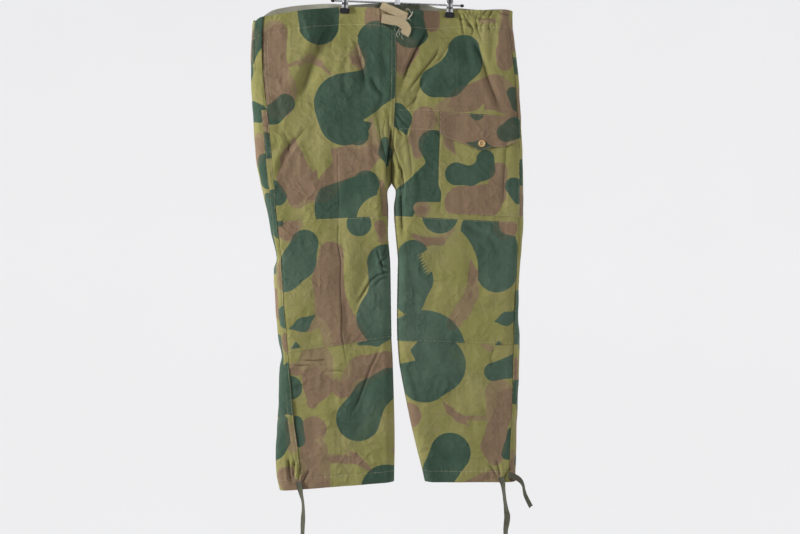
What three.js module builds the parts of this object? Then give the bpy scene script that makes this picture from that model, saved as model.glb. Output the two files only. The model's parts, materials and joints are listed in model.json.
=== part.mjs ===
// Camouflage overtrousers hanging by the waist from a two-clip hanger.
// Millimetres, +Z up, +X to the viewer's right, the garment's front towards -Y.
// The origin is the inside top of the hanger's hook, so "drop" below is -Z.
// "right" and "left" are the wearer's: the wearer's right leg is on the -X side.
import * as THREE from "three";

// ---------------------------------------------------------------- driving sizes
const CLOTH_WALL = 1.2;
const CASING_WALL = 1.8;
const SEAM_GAP = 0.3;
const LAYER_GAP = 0.5;
const PATCH_WALL = 1.1;
const POCKET_WALL = 1.6;
const FLAP_WALL = 1.6;

const WAIST_DROP = 110;
const CASING_DEPTH = 40;
const CROTCH_DROP = 504;
const HEM_DROP = 1178;
const HEM_CASING_DEPTH = 25;
const SIDE_ROUND = 27;
const INSEAM_ROUND = 22;
const FELL_WIDTH = 14;
const SIDE_SLIT = { top: 160, bottom: 325, gap: 2.6 };
const WAIST_TAPE_WIDTH = 21;
const ANKLE_TAPE_WIDTH = 14;
const TAPE_THICKNESS = 1;

const ROD_DROP = 95;
const COLLAR = { half: 5, under: 3.8, above: 8, depth: 12 };
const ROD_LENGTH = 285;
const ROD_RADIUS = 2;
const HANGER_TILT = THREE.MathUtils.degToRad(2.3);
const CLIP_SPREAD = 237.6;
const CLIP_PAD = { width: 22, height: 12.4, thick: 3, cover: 1.3, slotFloor: 2.2, below: 23 };
const JAW_PLATE = 1.4;
const CLIP_HALF_GRIP = 3.5;
const HOOK_WIRE = 4;
const HOOK_INSIDE = 20;

const MATERIALS = {
  camouflage: { color: 0x7d7c4a, roughness: 0.9, metalness: 0 },
  patch: { color: 0x6f7a50, roughness: 0.9, metalness: 0 },
  felling: { color: 0x4f6554, roughness: 0.9, metalness: 0 },
  cottonTape: { color: 0xb2a582, roughness: 0.95, metalness: 0 },
  ankleTape: { color: 0x62614f, roughness: 0.95, metalness: 0 },
  horn: { color: 0xb59c71, roughness: 0.4, metalness: 0 },
  chrome: { color: 0xc8c9cc, roughness: 0.18, metalness: 1 },
  rubber: { color: 0x1f1e22, roughness: 0.75, metalness: 0 },
};

// ---------------------------------------------------------------- tables
function table(columns, rows) {
  return rows.map((row) => Object.fromEntries(columns.map((name, i) => [name, row[i]])));
}

// One row for each section down the garment. outer and inner are the x of a leg's
// edges, depth is front to back, inset is from the side edge to the side seam, and
// slant is how much lower a level line of the cloth lies at the side than inside.
const SECTIONS = table(
  ["drop", "outerRight", "innerRight", "innerLeft", "outerLeft", "depth",
    "insetRight", "insetLeft", "slantRight", "slantLeft"],
  [
    [110, -331, -7, -7, 258, 44, 26, 10, 0, 0],
    [150, -336.5, -7, -7, 259, 48, 28, 10, 0, 0],
    [260, -336, -7, -7, 270, 58, 31, 10, 0, 12],
    [380, -328.5, -12, -12, 278, 62, 37, 10, 1, 20],
    [440, -324.5, -16.5, -16.5, 280, 62, 38, 10, 3, 18],
    [486, -317, -17, -17, 281, 61, 34, 11, 5, 17],
    [504, -314, -17.2, -16.8, 281, 60, 32, 11, 6, 16],
    [520, -310, -26, -8, 281, 60, 31, 11, 8, 16],
    [560, -301.5, -24.5, -12, 282, 58, 24, 12, 11, 16],
    [620, -288.5, -25.5, -7.5, 280.5, 56, 17, 13, 17, 15],
    [676, -277, -21, -2.5, 276, 54, 12, 10, 22, 14],
    [700, -283, -20, -3, 274, 54, 19, 9, 25, 13],
    [800, -278, -18.5, -4.5, 269.5, 52, 21, 10, 33, 11],
    [850, -274, -17.5, -4, 271.5, 52, 21, 13, 37, 9],
    [893, -267, -15, -1.5, 271.5, 51, 17, 14, 37, 8],
    [920, -271.5, -14, 1.5, 270.5, 50, 24, 14, 36, 8],
    [1040, -277, -10.5, 25, 268, 47, 40, 15, 29, 4],
    [1100, -280, -10, 39, 267, 46, 51, 17, 25, 2],
    [1160, -278, -11, 54, 265, 45, 56, 17, 21, 0],
    [1200, -269, -11, 62, 264, 44, 52, 17, 19, 0],
  ],
);

// Drop of the waist edge along x: the front sags between the clips, the back stands higher.
const WAIST_EDGE = table(
  ["x", "front", "back"],
  [
    [-326, 138, 133],
    [-313, 130.5, 123],
    [-290, 126, 108],
    [-255, 120, 99.5],
    [-225, 115.5, 96],
    [-180, 109.5, 94],
    [-140, 104.5, 96.5],
    [-105, 103.5, 98],
    [-54, 108, 92],
    [-7, 116, 91.5],
    [34, 114, 94],
    [66, 114, 98],
    [92, 112.5, 106],
    [135, 109.5, 106],
    [170, 113, 107],
    [220, 115, 105],
    [245, 113.5, 106],
    [258, 113.5, 112],
  ],
);

// The largest folds: soft troughs (negative rise) and ridges along straight runs.
const FRONT_FOLDS = table(
  ["x0", "drop0", "x1", "drop1", "width", "rise"],
  [
    [-144, 130, -230, 325, 34, -6],
    [-100, 150, -80, 290, 30, -4],
    [-175, 150, -262, 300, 40, 3],
    [63, 160, -5, 305, 24, -6],
    [97, 205, 16, 330, 26, -5],
    [171, 164, 215, 330, 36, -5],
    [2, 430, 10, 610, 22, -4],
    [-151, 418, -136, 628, 26, -4],
    [-130, 640, -116, 850, 26, -4],
    [-38, 905, -110, 1040, 30, -4],
    [-54, 655, -97, 778, 30, -5],
    [148, 612, 227, 655, 30, -3],
  ],
);
const BACK_FOLDS = table(
  ["x0", "drop0", "x1", "drop1", "width", "rise"],
  [
    [-130, 120, -60, 330, 40, -6],
    [125, 130, 60, 320, 36, -6],
    [-40, 420, -150, 520, 40, -5],
    [20, 420, 140, 520, 40, -5],
    [-150, 620, -140, 860, 36, -4],
    [130, 640, 125, 880, 36, -4],
  ],
);

// Small gathers in the front waist casing, beside the wearer's left clip.
const GATHERS = { from: 132, to: 226, pitch: 15.5, rise: 2.2 };

// Level lines of the grid, given as their drop at the inner edge of a leg.
const POCKET = { top: 366, bottom: 566, flapTop: 338, from: 92, to: 268 };
const KNEE_TOP = 578;
const KNEE_BOTTOM = { Right: 851, Left: 859 };

// ---------------------------------------------------------------- curves
// Smooth reading of a table column: cubic between rows, with slopes from the neighbours.
function read(rows, key, column, at) {
  const last = rows.length - 1;
  const t = THREE.MathUtils.clamp(at, rows[0][key], rows[last][key]);
  let i = 0;
  while (i < last - 1 && t > rows[i + 1][key]) i += 1;
  const slope = (n) => {
    const a = rows[Math.max(n - 1, 0)];
    const b = rows[Math.min(n + 1, last)];
    return (b[column] - a[column]) / (b[key] - a[key]);
  };
  const span = rows[i + 1][key] - rows[i][key];
  const u = (t - rows[i][key]) / span;
  const u2 = u * u;
  const u3 = u2 * u;
  return rows[i][column] * (2 * u3 - 3 * u2 + 1) + slope(i) * span * (u3 - 2 * u2 + u)
    + rows[i + 1][column] * (3 * u2 - 2 * u3) + slope(i + 1) * span * (u3 - u2);
}

const section = (column, drop) => read(SECTIONS, "drop", column, drop);
const smooth = (value, from, to) => THREE.MathUtils.smoothstep(value, from, to);

// ---------------------------------------------------------------- cloth form
const CLIP_X = [-1, 1].map((side) => (
  side * 0.5 * CLIP_SPREAD * Math.cos(HANGER_TILT) - ROD_DROP * Math.sin(HANGER_TILT)
));

// How far the clips draw front and back together, from 0 to 1.
function pinch(x, drop) {
  const along = CLIP_X.map((clip) => 1 - smooth(Math.abs(x - clip), 20, 85));
  return Math.max(...along) * (1 - smooth(drop, 136, 250));
}

// How far the crotch seam is drawn into the body: 0 at the hip, 1 from the crotch down.
const drawnIn = (drop) => (drop >= CROTCH_DROP ? 1 : 0.9 * smooth(drop, 385, CROTCH_DROP - 14));

function foldRise(folds, x, drop) {
  let rise = 0;
  for (const fold of folds) {
    const run = new THREE.Vector2(fold.x1 - fold.x0, fold.drop1 - fold.drop0);
    const from = new THREE.Vector2(x - fold.x0, drop - fold.drop0);
    const along = from.dot(run) / run.lengthSq();
    const across = from.cross(run) / run.length();
    const ends = smooth(along, -0.15, 0.2) * (1 - smooth(along, 0.8, 1.15));
    rise += fold.rise * ends * Math.exp(-((across / (0.5 * fold.width)) ** 2));
  }
  return rise;
}

// A leg's section at a level line of the cloth.
function legSection(leg, level) {
  const side = leg === "Right" ? -1 : 1;
  const slant = section(`slant${leg}`, level);
  const inner = section(`inner${leg}`, level);
  const outer = section(`outer${leg}`, level + slant);
  const halfDepth = 0.5 * section("depth", level);
  const width = Math.abs(outer - inner);
  const roundRun = 0.5 * Math.PI * Math.hypot(SIDE_ROUND, halfDepth) / Math.SQRT2;
  const inset = section(`inset${leg}`, level + slant);
  const seam = inset < SIDE_ROUND
    ? roundRun * Math.acos(1 - inset / SIDE_ROUND) / (0.5 * Math.PI)
    : roundRun + inset - SIDE_ROUND;
  return { side, slant, inner, outer, halfDepth, width, roundRun,
    seam, end: roundRun + width - SIDE_ROUND };
}

// A point of the cloth's outer face. run is measured round the leg from its side edge,
// negative over the front and positive over the back.
function clothPoint(leg, run, level) {
  const s = legSection(leg, level);
  const back = run > 0;
  const angle = 0.5 * Math.PI * Math.min(Math.abs(run) / s.roundRun, 1);
  const fromSide = SIDE_ROUND * (1 - Math.cos(angle)) + Math.max(Math.abs(run) - s.roundRun, 0);
  const x = s.outer - s.side * fromSide;
  const fromInner = Math.max(s.width - fromSide, 0);
  const waistEdge = read(WAIST_EDGE, "x", back ? "back" : "front", x);
  const drop = level + s.slant * (1 - fromSide / s.width)
    + (waistEdge - WAIST_DROP) * (1 - smooth(level, WAIST_DROP + CASING_DEPTH, 320));
  const drawn = drawnIn(level);
  const inward = 1 - Math.min(fromInner / INSEAM_ROUND, 1);
  const innerShape = 1 - drawn * (1 - (1 - inward * inward) ** (1 - 0.5 * drawn));
  const shape = Math.sin(angle) * innerShape;
  const gripped = s.halfDepth + (CLIP_HALF_GRIP - s.halfDepth) * pinch(x, drop);
  const folds = foldRise(back ? BACK_FOLDS : FRONT_FOLDS, x, drop) * (1 - pinch(x, drop));
  const depth = Math.max(gripped * shape + folds * shape * shape, 0.5 * SEAM_GAP * Math.sin(angle));
  return new THREE.Vector3(x, back ? depth : -depth, -drop);
}

// The same, carried on past a leg's inner edge: round the inseam below the crotch,
// and mirrored across the centre seam above it.
function clothBeyond(leg, run, level) {
  const s = legSection(leg, level);
  const over = Math.abs(run) - s.end;
  if (over <= 0) return clothPoint(leg, run, level);
  if (drawnIn(level) === 1) return clothPoint(leg, -Math.sign(run) * (s.end - over), level);
  const twin = clothPoint(leg, Math.sign(run) * (s.end - over), level);
  twin.x = 2 * s.inner - twin.x;
  return twin;
}

function clothNormal(leg, run, level) {
  const step = 0.6;
  const along = clothBeyond(leg, run + step, level).sub(clothBeyond(leg, run - step, level));
  const down = clothPoint(leg, run, level + step).sub(clothPoint(leg, run, level - step));
  const normal = new THREE.Vector3().crossVectors(down, along);
  if (legSection(leg, level).side < 0) normal.negate();
  return normal.normalize();
}

// ---------------------------------------------------------------- solids from grids
const cloth = new THREE.Group();

function addMesh(parent, name, geometry, finish) {
  const mesh = new THREE.Mesh(geometry, new THREE.MeshStandardMaterial(MATERIALS[finish]));
  mesh.name = name;
  parent.add(mesh);
  return mesh;
}

// A closed wall between two grids of points, each a list of columns. Edge walls close it;
// a ring joins its last column to its first instead.
function wallGeometry(outer, inner, ring, flip) {
  const columns = outer.length;
  const rows = outer[0].length;
  const count = columns * rows;
  const positions = [...outer.flat(), ...inner.flat()].flatMap((p) => [p.x, p.y, p.z]);
  const triangles = [];
  const at = (i, j) => (i % columns) * rows + j;
  const quad = (a, b, c, d) => {
    const corners = flip ? [a, c, b, a, d, c] : [a, b, c, a, c, d];
    triangles.push(...corners);
  };
  for (let i = 0; i < (ring ? columns : columns - 1); i += 1) {
    for (let j = 0; j < rows - 1; j += 1) {
      quad(at(i, j), at(i, j + 1), at(i + 1, j + 1), at(i + 1, j));
      quad(count + at(i, j), count + at(i + 1, j), count + at(i + 1, j + 1), count + at(i, j + 1));
    }
    quad(at(i, 0), at(i + 1, 0), count + at(i + 1, 0), count + at(i, 0));
    quad(at(i + 1, rows - 1), at(i, rows - 1), count + at(i, rows - 1), count + at(i + 1, rows - 1));
  }
  for (let j = 0; j < rows - 1 && !ring; j += 1) {
    const end = columns - 1;
    quad(at(0, j + 1), at(0, j), count + at(0, j), count + at(0, j + 1));
    quad(at(end, j), at(end, j + 1), count + at(end, j + 1), count + at(end, j));
  }
  const geometry = new THREE.BufferGeometry();
  geometry.setAttribute("position", new THREE.Float32BufferAttribute(positions, 3));
  geometry.setIndex(triangles);
  geometry.computeVertexNormals();
  return geometry;
}

// A wall from grid cells { point, normal }, between two distances along the normals.
function addWall(name, grid, finish, { from = -CLOTH_WALL, to = 0, ring = false } = {}) {
  const moved = (distance) => grid.map((column) => (
    column.map(({ point, normal }) => point.clone().addScaledVector(normal, distance))
  ));
  const outer = moved(to);
  const inner = moved(from);
  const a = outer[0][0];
  const turn = outer[0][1].clone().sub(a).cross(outer[1][0].clone().sub(a));
  addMesh(cloth, name, wallGeometry(outer, inner, ring, turn.dot(grid[0][0].normal) < 0), finish);
}

const cell = (leg, run, level) => ({
  point: clothPoint(leg, run, level),
  normal: clothNormal(leg, run, level),
});

function mixCell(a, b, t) {
  return {
    point: a.point.clone().lerp(b.point, t),
    normal: a.normal.clone().lerp(b.normal, t).normalize(),
  };
}

// A grid read between its own columns and rows, so that what lies on it fits its facets.
function readGrid(grid, column, row) {
  const i = Math.min(Math.floor(column), grid.length - 2);
  const j = Math.min(Math.floor(row), grid[0].length - 2);
  const upper = mixCell(grid[i][j], grid[i + 1][j], column - i);
  const lower = mixCell(grid[i][j + 1], grid[i + 1][j + 1], column - i);
  return mixCell(upper, lower, row - j);
}

// The whole numbers strictly between two places, with the places themselves at the ends.
function stations(from, to) {
  const list = [from];
  for (let n = Math.floor(from) + 1; n < to - 0.02; n += 1) {
    if (n > from + 0.02) list.push(n);
  }
  return [...list, to];
}

// ---------------------------------------------------------------- panels
const INNER_STEPS = [0, 2.5, 6, 11, 24];

const levels = (leg) => [
  WAIST_DROP + CASING_DEPTH + 0.5 * SEAM_GAP, 180, 220, 265, 305, POCKET.flapTop, POCKET.top,
  400, 440, 486, CROTCH_DROP, 520, 546, KNEE_TOP, 615, 655, 690, 740, 795, KNEE_BOTTOM[leg],
  895, 930, 990, 1045, 1100, HEM_DROP - HEM_CASING_DEPTH - 0.5 * SEAM_GAP,
];

// Half the gap at the side seam, which stands open along the slit at the wearer's right.
function halfSideGap(leg, level) {
  const open = leg === "Right" && level > SIDE_SLIT.top && level < SIDE_SLIT.bottom;
  return 0.5 * (open ? SIDE_SLIT.gap : SEAM_GAP);
}

// Runs of the front panel's columns, from the inner edge to the side seam.
function frontRuns(leg, level) {
  const s = legSection(leg, level);
  const seamGap = drawnIn(level) === 1 ? 0 : 0.5 * SEAM_GAP;
  const inner = INNER_STEPS.map((step) => -(s.end - Math.max(step, seamGap)));
  const from = inner[inner.length - 1];
  const to = -(s.seam + halfSideGap(leg, level));
  const steps = 9;
  for (let n = 1; n <= steps; n += 1) {
    inner.push(from + (to - from) * (1 - (1 - n / steps) ** 1.25));
  }
  return inner;
}

// Runs of the back panel's columns, from the side seam round the side to the inner edge.
function backRuns(leg, level) {
  const s = legSection(leg, level);
  const seamGap = drawnIn(level) === 1 ? 0 : 0.5 * SEAM_GAP;
  const seam = -(s.seam - halfSideGap(leg, level));
  const felled = Math.min(FELL_WIDTH - s.seam, -3);
  const inner = INNER_STEPS.map((step) => s.end - Math.max(step, seamGap)).reverse();
  const across = [1, 2, 3, 4, 5].map((n) => s.roundRun + (inner[0] - s.roundRun) * n / 6);
  return [seam, felled, 0.5 * felled, 0, 0.5 * s.roundRun, s.roundRun, ...across, ...inner];
}

function panelGrid(leg, runs) {
  const rows = levels(leg).map((level) => runs(leg, level).map((run) => cell(leg, run, level)));
  return rows[0].map((_, i) => rows.map((row) => row[i]));
}

const legs = ["Right", "Left"];
const fronts = Object.fromEntries(legs.map((leg) => [leg, panelGrid(leg, frontRuns)]));
const backs = Object.fromEntries(legs.map((leg) => [leg, panelGrid(leg, backRuns)]));

for (const leg of legs) {
  const suffix = leg.toLowerCase();
  addWall(`front_${suffix}_panel`, fronts[leg], "camouflage");
  addWall(`back_${suffix}_panel`, backs[leg], "camouflage");
}

// ---------------------------------------------------------------- waist casings
const shifted = ({ point, normal }, up) => ({
  point: point.clone().add(new THREE.Vector3(0, 0, up)),
  normal,
});

// A casing takes its lower edge from the panel's top edge, so the two never cross.
function waistCasing(leg, runs, panel) {
  const level = WAIST_DROP + CASING_DEPTH;
  const edge = runs(leg, level);
  const places = [];
  for (let i = 0; i < edge.length - 1; i += 1) {
    const parts = Math.max(1, Math.round(Math.abs(edge[i + 1] - edge[i]) / 8));
    for (let n = 0; n < parts; n += 1) places.push(i + n / parts);
  }
  places.push(edge.length - 1);
  return places.map((place) => {
    const i = Math.min(Math.floor(place), edge.length - 2);
    const upper = [WAIST_DROP, WAIST_DROP + 0.5 * CASING_DEPTH].map((rowLevel) => {
      const rowRuns = runs(leg, rowLevel);
      const run = rowRuns[i] + (rowRuns[i + 1] - rowRuns[i]) * (place - i);
      const point = cell(leg, run, rowLevel);
      if (run < 0) point.point.y -= gather(point.point.x);
      return point;
    });
    return [...upper, shifted(readGrid(panel, place, 0), SEAM_GAP)];
  });
}

function gather(x) {
  if (x < GATHERS.from || x > GATHERS.to) return 0;
  const ends = smooth(x, GATHERS.from, GATHERS.from + 12) * (1 - smooth(x, GATHERS.to - 12, GATHERS.to));
  return ends * GATHERS.rise * Math.sin(2 * Math.PI * (x - GATHERS.from) / GATHERS.pitch);
}

for (const leg of legs) {
  const suffix = leg.toLowerCase();
  const wall = { from: -CASING_WALL, to: 0 };
  addWall(`waist_casing_front_${suffix}`, waistCasing(leg, frontRuns, fronts[leg]), "camouflage", wall);
  addWall(`waist_casing_back_${suffix}`, waistCasing(leg, backRuns, backs[leg]), "camouflage", wall);
}

// ---------------------------------------------------------------- hem casings
function hemCasing(leg) {
  const around = [...fronts[leg], ...backs[leg].slice(1, -1)];
  const runs = [...frontRuns(leg, HEM_DROP), ...backRuns(leg, HEM_DROP).slice(1, -1)];
  return around.map((column, i) => [
    shifted(column[column.length - 1], -SEAM_GAP),
    cell(leg, runs[i], HEM_DROP),
  ]);
}

for (const leg of legs) {
  addWall(`hem_casing_${leg.toLowerCase()}`, hemCasing(leg), "camouflage",
    { from: -CASING_WALL, to: 0, ring: true });
}

// ---------------------------------------------------------------- what lies on the panels
// A layer over part of a panel, between columns and rows that may fall between its own.
function layer(panel, columns, rows) {
  return stations(...columns).map((column) => (
    stations(...rows).map((row) => readGrid(panel, column, row))
  ));
}

const rowOf = (leg, level) => levels(leg).indexOf(level);

// The column of a panel that passes through x on a given row.
function columnAt(panel, row, x) {
  let i = 0;
  while (i < panel.length - 2 && (panel[i + 1][row].point.x - x) * (panel[i][row].point.x - x) > 0) {
    i += 1;
  }
  const a = panel[i][row].point.x;
  const b = panel[i + 1][row].point.x;
  return i + (x - a) / (b - a);
}

const FELLING = { from: LAYER_GAP, to: LAYER_GAP + 0.9 };

// The felled seams run down the side; at the wearer's right the seam starts below the slit.
function sideSeams() {
  for (const leg of legs) {
    const start = leg === "Right" ? rowOf(leg, POCKET.flapTop) + 0.1 : 0.04;
    const rows = [start, levels(leg).length - 1.04];
    addWall(`side_seam_${leg.toLowerCase()}`, layer(backs[leg], [0.05, 0.95], rows), "felling", FELLING);
  }
}

// A narrow felled strip beside the slit, which leans from the side edge towards it.
function slitStrip() {
  const rows = stations(0.15, 2.6);
  const grid = [[1.85, 0.2], [1.45, 0.16]].map(([column, lean]) => rows.map((row) => (
    readGrid(backs.Right, column - lean * row, row)
  )));
  addWall("side_slit_strip", grid, "felling", FELLING);
}

function centreSeam() {
  addWall("centre_seam_front", layer(fronts.Right, [0.1, 3], [0.05, rowOf("Right", 440)]), "felling",
    FELLING);
}

function kneePatches() {
  for (const leg of legs) {
    const rows = [rowOf(leg, KNEE_TOP), rowOf(leg, KNEE_BOTTOM[leg])];
    const last = fronts[leg].length - 1;
    addWall(`knee_patch_${leg.toLowerCase()}`, layer(fronts[leg], [0.2, last - 0.05], rows), "patch",
      { from: LAYER_GAP, to: LAYER_GAP + PATCH_WALL });
  }
}

// The pocket lies on the front panel, its flap over it, and the button on the flap.
const POCKET_TOP_FACE = LAYER_GAP + POCKET_WALL;
const FLAP_TOP_FACE = POCKET_TOP_FACE + LAYER_GAP + FLAP_WALL;

// The flap's lower edge: one row for each corner, as x and the drop of the cloth there.
const FLAP_EDGE = table(
  ["x", "drop"],
  [[92, 392], [103, 402], [128, 411], [160, 422], [184, 431], [208, 425], [236, 423], [270, 410]],
);

function pocketColumns() {
  const row = rowOf("Left", POCKET.top);
  return [columnAt(fronts.Left, row, POCKET.from), columnAt(fronts.Left, row, POCKET.to)];
}

function pocketAndFlap() {
  const panel = fronts.Left;
  const columns = pocketColumns();
  const bottomRow = rowOf("Left", 546) + (POCKET.bottom - 546) / (KNEE_TOP - 546);
  addWall("thigh_pocket", layer(panel, columns, [rowOf("Left", POCKET.top), bottomRow]), "patch",
    { from: LAYER_GAP, to: POCKET_TOP_FACE });
  const top = rowOf("Left", POCKET.flapTop);
  const flap = stations(columns[0] - 0.08, columns[1] + 0.02).map((column) => {
    const x = readGrid(panel, column, top + 2).point.x;
    const edgeDrop = read(FLAP_EDGE, "x", "drop", x);
    let bottom = top;
    while (-readGrid(panel, column, bottom).point.z < edgeDrop) bottom += 0.02;
    return [0, 0.33, 0.66, 1].map((t) => readGrid(panel, column, top + (bottom - top) * t));
  });
  addWall("pocket_flap", flap, "patch", { from: POCKET_TOP_FACE + LAYER_GAP, to: FLAP_TOP_FACE });
}

const BUTTON = { x: 185.5, drop: 416, radius: 8, thick: 2.2, hole: 0.9, holeSpread: 1.9 };

function pocketButton() {
  const row = rowOf("Left", 400) + 0.2;
  const seat = readGrid(fronts.Left, columnAt(fronts.Left, Math.floor(row), BUTTON.x), row);
  const disc = new THREE.Shape().absarc(0, 0, BUTTON.radius - 0.5, 0, 2 * Math.PI);
  for (const [sx, sy] of [[1, 1], [-1, 1], [-1, -1], [1, -1]]) {
    disc.holes.push(new THREE.Path().absarc(sx * BUTTON.holeSpread, sy * BUTTON.holeSpread,
      BUTTON.hole, 0, 2 * Math.PI, true));
  }
  const geometry = new THREE.ExtrudeGeometry(disc, { depth: BUTTON.thick - 0.8, curveSegments: 6,
    bevelThickness: 0.4, bevelSize: 0.5, bevelSegments: 1 });
  geometry.rotateX(0.5 * Math.PI);
  const button = addMesh(cloth, "pocket_button", geometry, "horn");
  button.position.set(BUTTON.x, seat.point.y - FLAP_TOP_FACE - 1.0, -BUTTON.drop);
}

// A small triangle of folded cloth, bartacked at a knee patch's lower edge.
function kneeTack(leg, column, span, height) {
  const panel = fronts[leg];
  const base = rowOf(leg, KNEE_BOTTOM[leg]) - 0.12;
  const corners = [[column, base], [column + span, base], [column + 0.5 * span, base - height]];
  const cells = corners.map(([c, r]) => readGrid(panel, c, r));
  const shell = LAYER_GAP + PATCH_WALL + LAYER_GAP;
  const grid = [[cells[0], cells[2]], [cells[1], cells[2]]];
  const name = `knee_tack_${leg.toLowerCase()}`;
  const lifted = (distance) => grid.map((col) => (
    col.map(({ point, normal }) => point.clone().addScaledVector(normal, distance))
  ));
  const outer = lifted(shell + 1.1);
  const inner = lifted(shell);
  const tip = new THREE.Vector3().subVectors(outer[1][0], outer[0][0]).multiplyScalar(0.06);
  for (const side of [outer, inner]) {
    side[0][1].sub(tip);
    side[1][1].add(tip);
  }
  const turn = outer[0][1].clone().sub(outer[0][0]).cross(outer[1][0].clone().sub(outer[0][0]));
  addMesh(cloth, name, wallGeometry(outer, inner, false, turn.dot(cells[0].normal) < 0), "felling");
}

sideSeams();
slitStrip();
centreSeam();
kneePatches();
pocketAndFlap();
pocketButton();
kneeTack("Right", columnAt(fronts.Right, rowOf("Right", KNEE_BOTTOM.Right), -222), -0.9, 0.28);
kneeTack("Left", columnAt(fronts.Left, rowOf("Left", KNEE_BOTTOM.Left), 216), 0.8, 0.17);

// ---------------------------------------------------------------- tapes
// A flat tape along hand-set points. turn is how far its face is turned from the viewer,
// in degrees, and share is how much of its width lies open there.
function addTape(name, route, width, finish) {
  const corners = route.map((place, i) => {
    const before = route[Math.max(i - 1, 0)];
    const after = route[Math.min(i + 1, route.length - 1)];
    const along = new THREE.Vector3(after.x - before.x, after.y - before.y, before.drop - after.drop);
    along.normalize();
    const face = new THREE.Vector3(0, -1, 0);
    face.addScaledVector(along, -face.dot(along)).normalize();
    face.applyAxisAngle(along, THREE.MathUtils.degToRad(place.turn));
    const across = new THREE.Vector3().crossVectors(along, face).multiplyScalar(0.5 * width);
    const centre = new THREE.Vector3(place.x, place.y, -place.drop);
    const thick = face.clone().multiplyScalar(0.5 * TAPE_THICKNESS);
    return [
      [centre.clone().sub(across).add(thick), centre.clone().sub(across).sub(thick)],
      [centre.clone().add(across).add(thick), centre.clone().add(across).sub(thick)],
    ];
  });
  const outer = [0, 1].map((edge) => corners.map((c) => c[edge][0]));
  const inner = [0, 1].map((edge) => corners.map((c) => c[edge][1]));
  const turn = outer[0][1].clone().sub(outer[0][0]).cross(outer[1][0].clone().sub(outer[0][0]));
  const out = outer[0][0].clone().sub(inner[0][0]);
  addMesh(cloth, name, wallGeometry(outer, inner, false, turn.dot(out) < 0), finish);
}

const TAPE_COLUMNS = ["x", "y", "drop", "turn"];
const WAIST_TAPE_A = table(TAPE_COLUMNS, [
  [-39, -24.4, 133, 0],
  [-20, -25, 137, 0],
  [-3, -25.6, 140, 0],
  [11, -26.2, 149, 4],
  [17, -26.4, 159, 4],
  [12, -26.2, 170, 4],
]);
const WAIST_TAPE_B = table(TAPE_COLUMNS, [
  [-40, -25.2, 103, 10],
  [-25, -26.6, 111, 6],
  [-7, -27.6, 119, 4],
  [7, -28.2, 126, 4],
  [17, -28.4, 130, 4],
]);
const ANKLE_TAPE_RIGHT = table(TAPE_COLUMNS, [
  [-226, -25.6, 1176, 0],
  [-223, -26, 1190, 20],
  [-220, -25.5, 1204, 45],
  [-216, -24, 1222, 60],
  [-215, -23, 1242, 55],
  [-216, -22.5, 1262, 40],
  [-217, -22, 1294, 50],
  [-217, -22, 1334, 60],
]);
const ANKLE_TAPE_LEFT_LONG = table(TAPE_COLUMNS, [
  [229, -25.5, 1166, 0],
  [233, -26.5, 1178, 30],
  [235, -26, 1190, 55],
  [238.5, -24, 1217, 60],
  [241.5, -23, 1238, 45],
  [243.5, -22.5, 1256, 10],
  [240.5, -22, 1286, 45],
  [240, -22, 1334, 65],
]);
const ANKLE_TAPE_LEFT_SHORT = table(TAPE_COLUMNS, [
  [246, -22.9, 1160, 0],
  [256, -22.4, 1164, -12],
  [266, -20.6, 1169, -30],
  [274, -19.4, 1176, -45],
  [279, -18, 1185, -60],
  [281, -16, 1196, -60],
  [285, -15, 1210, -50],
  [297, -14, 1234, -45],
]);

addTape("waist_tape_end_a", WAIST_TAPE_A, WAIST_TAPE_WIDTH, "cottonTape");
addTape("waist_tape_end_b", WAIST_TAPE_B, WAIST_TAPE_WIDTH - 4, "cottonTape");
addTape("ankle_tape_right", ANKLE_TAPE_RIGHT, ANKLE_TAPE_WIDTH, "ankleTape");
addTape("ankle_tape_left_long", ANKLE_TAPE_LEFT_LONG, ANKLE_TAPE_WIDTH, "ankleTape");
addTape("ankle_tape_left_short", ANKLE_TAPE_LEFT_SHORT, ANKLE_TAPE_WIDTH, "ankleTape");

// ---------------------------------------------------------------- hanger
const hanger = new THREE.Group();
hanger.rotation.y = HANGER_TILT;

// An outline in the y-z plane, pushed out along x about x = 0.
function extrudeAcross(shape, width, bevel = 0) {
  const geometry = new THREE.ExtrudeGeometry(shape, { depth: width - 2 * bevel, curveSegments: 12,
    bevelEnabled: bevel > 0, bevelThickness: bevel, bevelSize: bevel, bevelSegments: 2 });
  geometry.translate(0, 0, -0.5 * width + bevel);
  geometry.applyMatrix4(new THREE.Matrix4().makeBasis(
    new THREE.Vector3(0, 1, 0), new THREE.Vector3(0, 0, 1), new THREE.Vector3(1, 0, 0),
  ));
  return geometry;
}

function hook() {
  const centre = 0.5 * HOOK_WIRE + HOOK_INSIDE;
  const bend = new THREE.CurvePath();
  const stemTop = -2.15 * HOOK_INSIDE - 0.5 * HOOK_WIRE;
  const stemEnd = -ROD_DROP + COLLAR.above + SEAM_GAP;
  const eye = new THREE.Vector3(0, 0, 0.5 * HOOK_WIRE - centre);
  const points = [new THREE.Vector3(0, 0, stemEnd), new THREE.Vector3(0, 0, stemTop - 8)];
  points.push(new THREE.Vector3(0.8, 0, stemTop));
  for (let degrees = -58; degrees <= 206; degrees += 22) {
    const angle = THREE.MathUtils.degToRad(degrees);
    points.push(new THREE.Vector3(centre * Math.cos(angle), 0, centre * Math.sin(angle)).add(eye));
  }
  bend.add(new THREE.CatmullRomCurve3(points));
  const wire = new THREE.Shape().absarc(0, 0, 0.5 * HOOK_WIRE, 0, 2 * Math.PI);
  const geometry = new THREE.ExtrudeGeometry(wire, { steps: 72, curveSegments: 5,
    bevelEnabled: false, extrudePath: bend });
  addMesh(hanger, "hanger_hook", geometry, "chrome");
}

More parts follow.
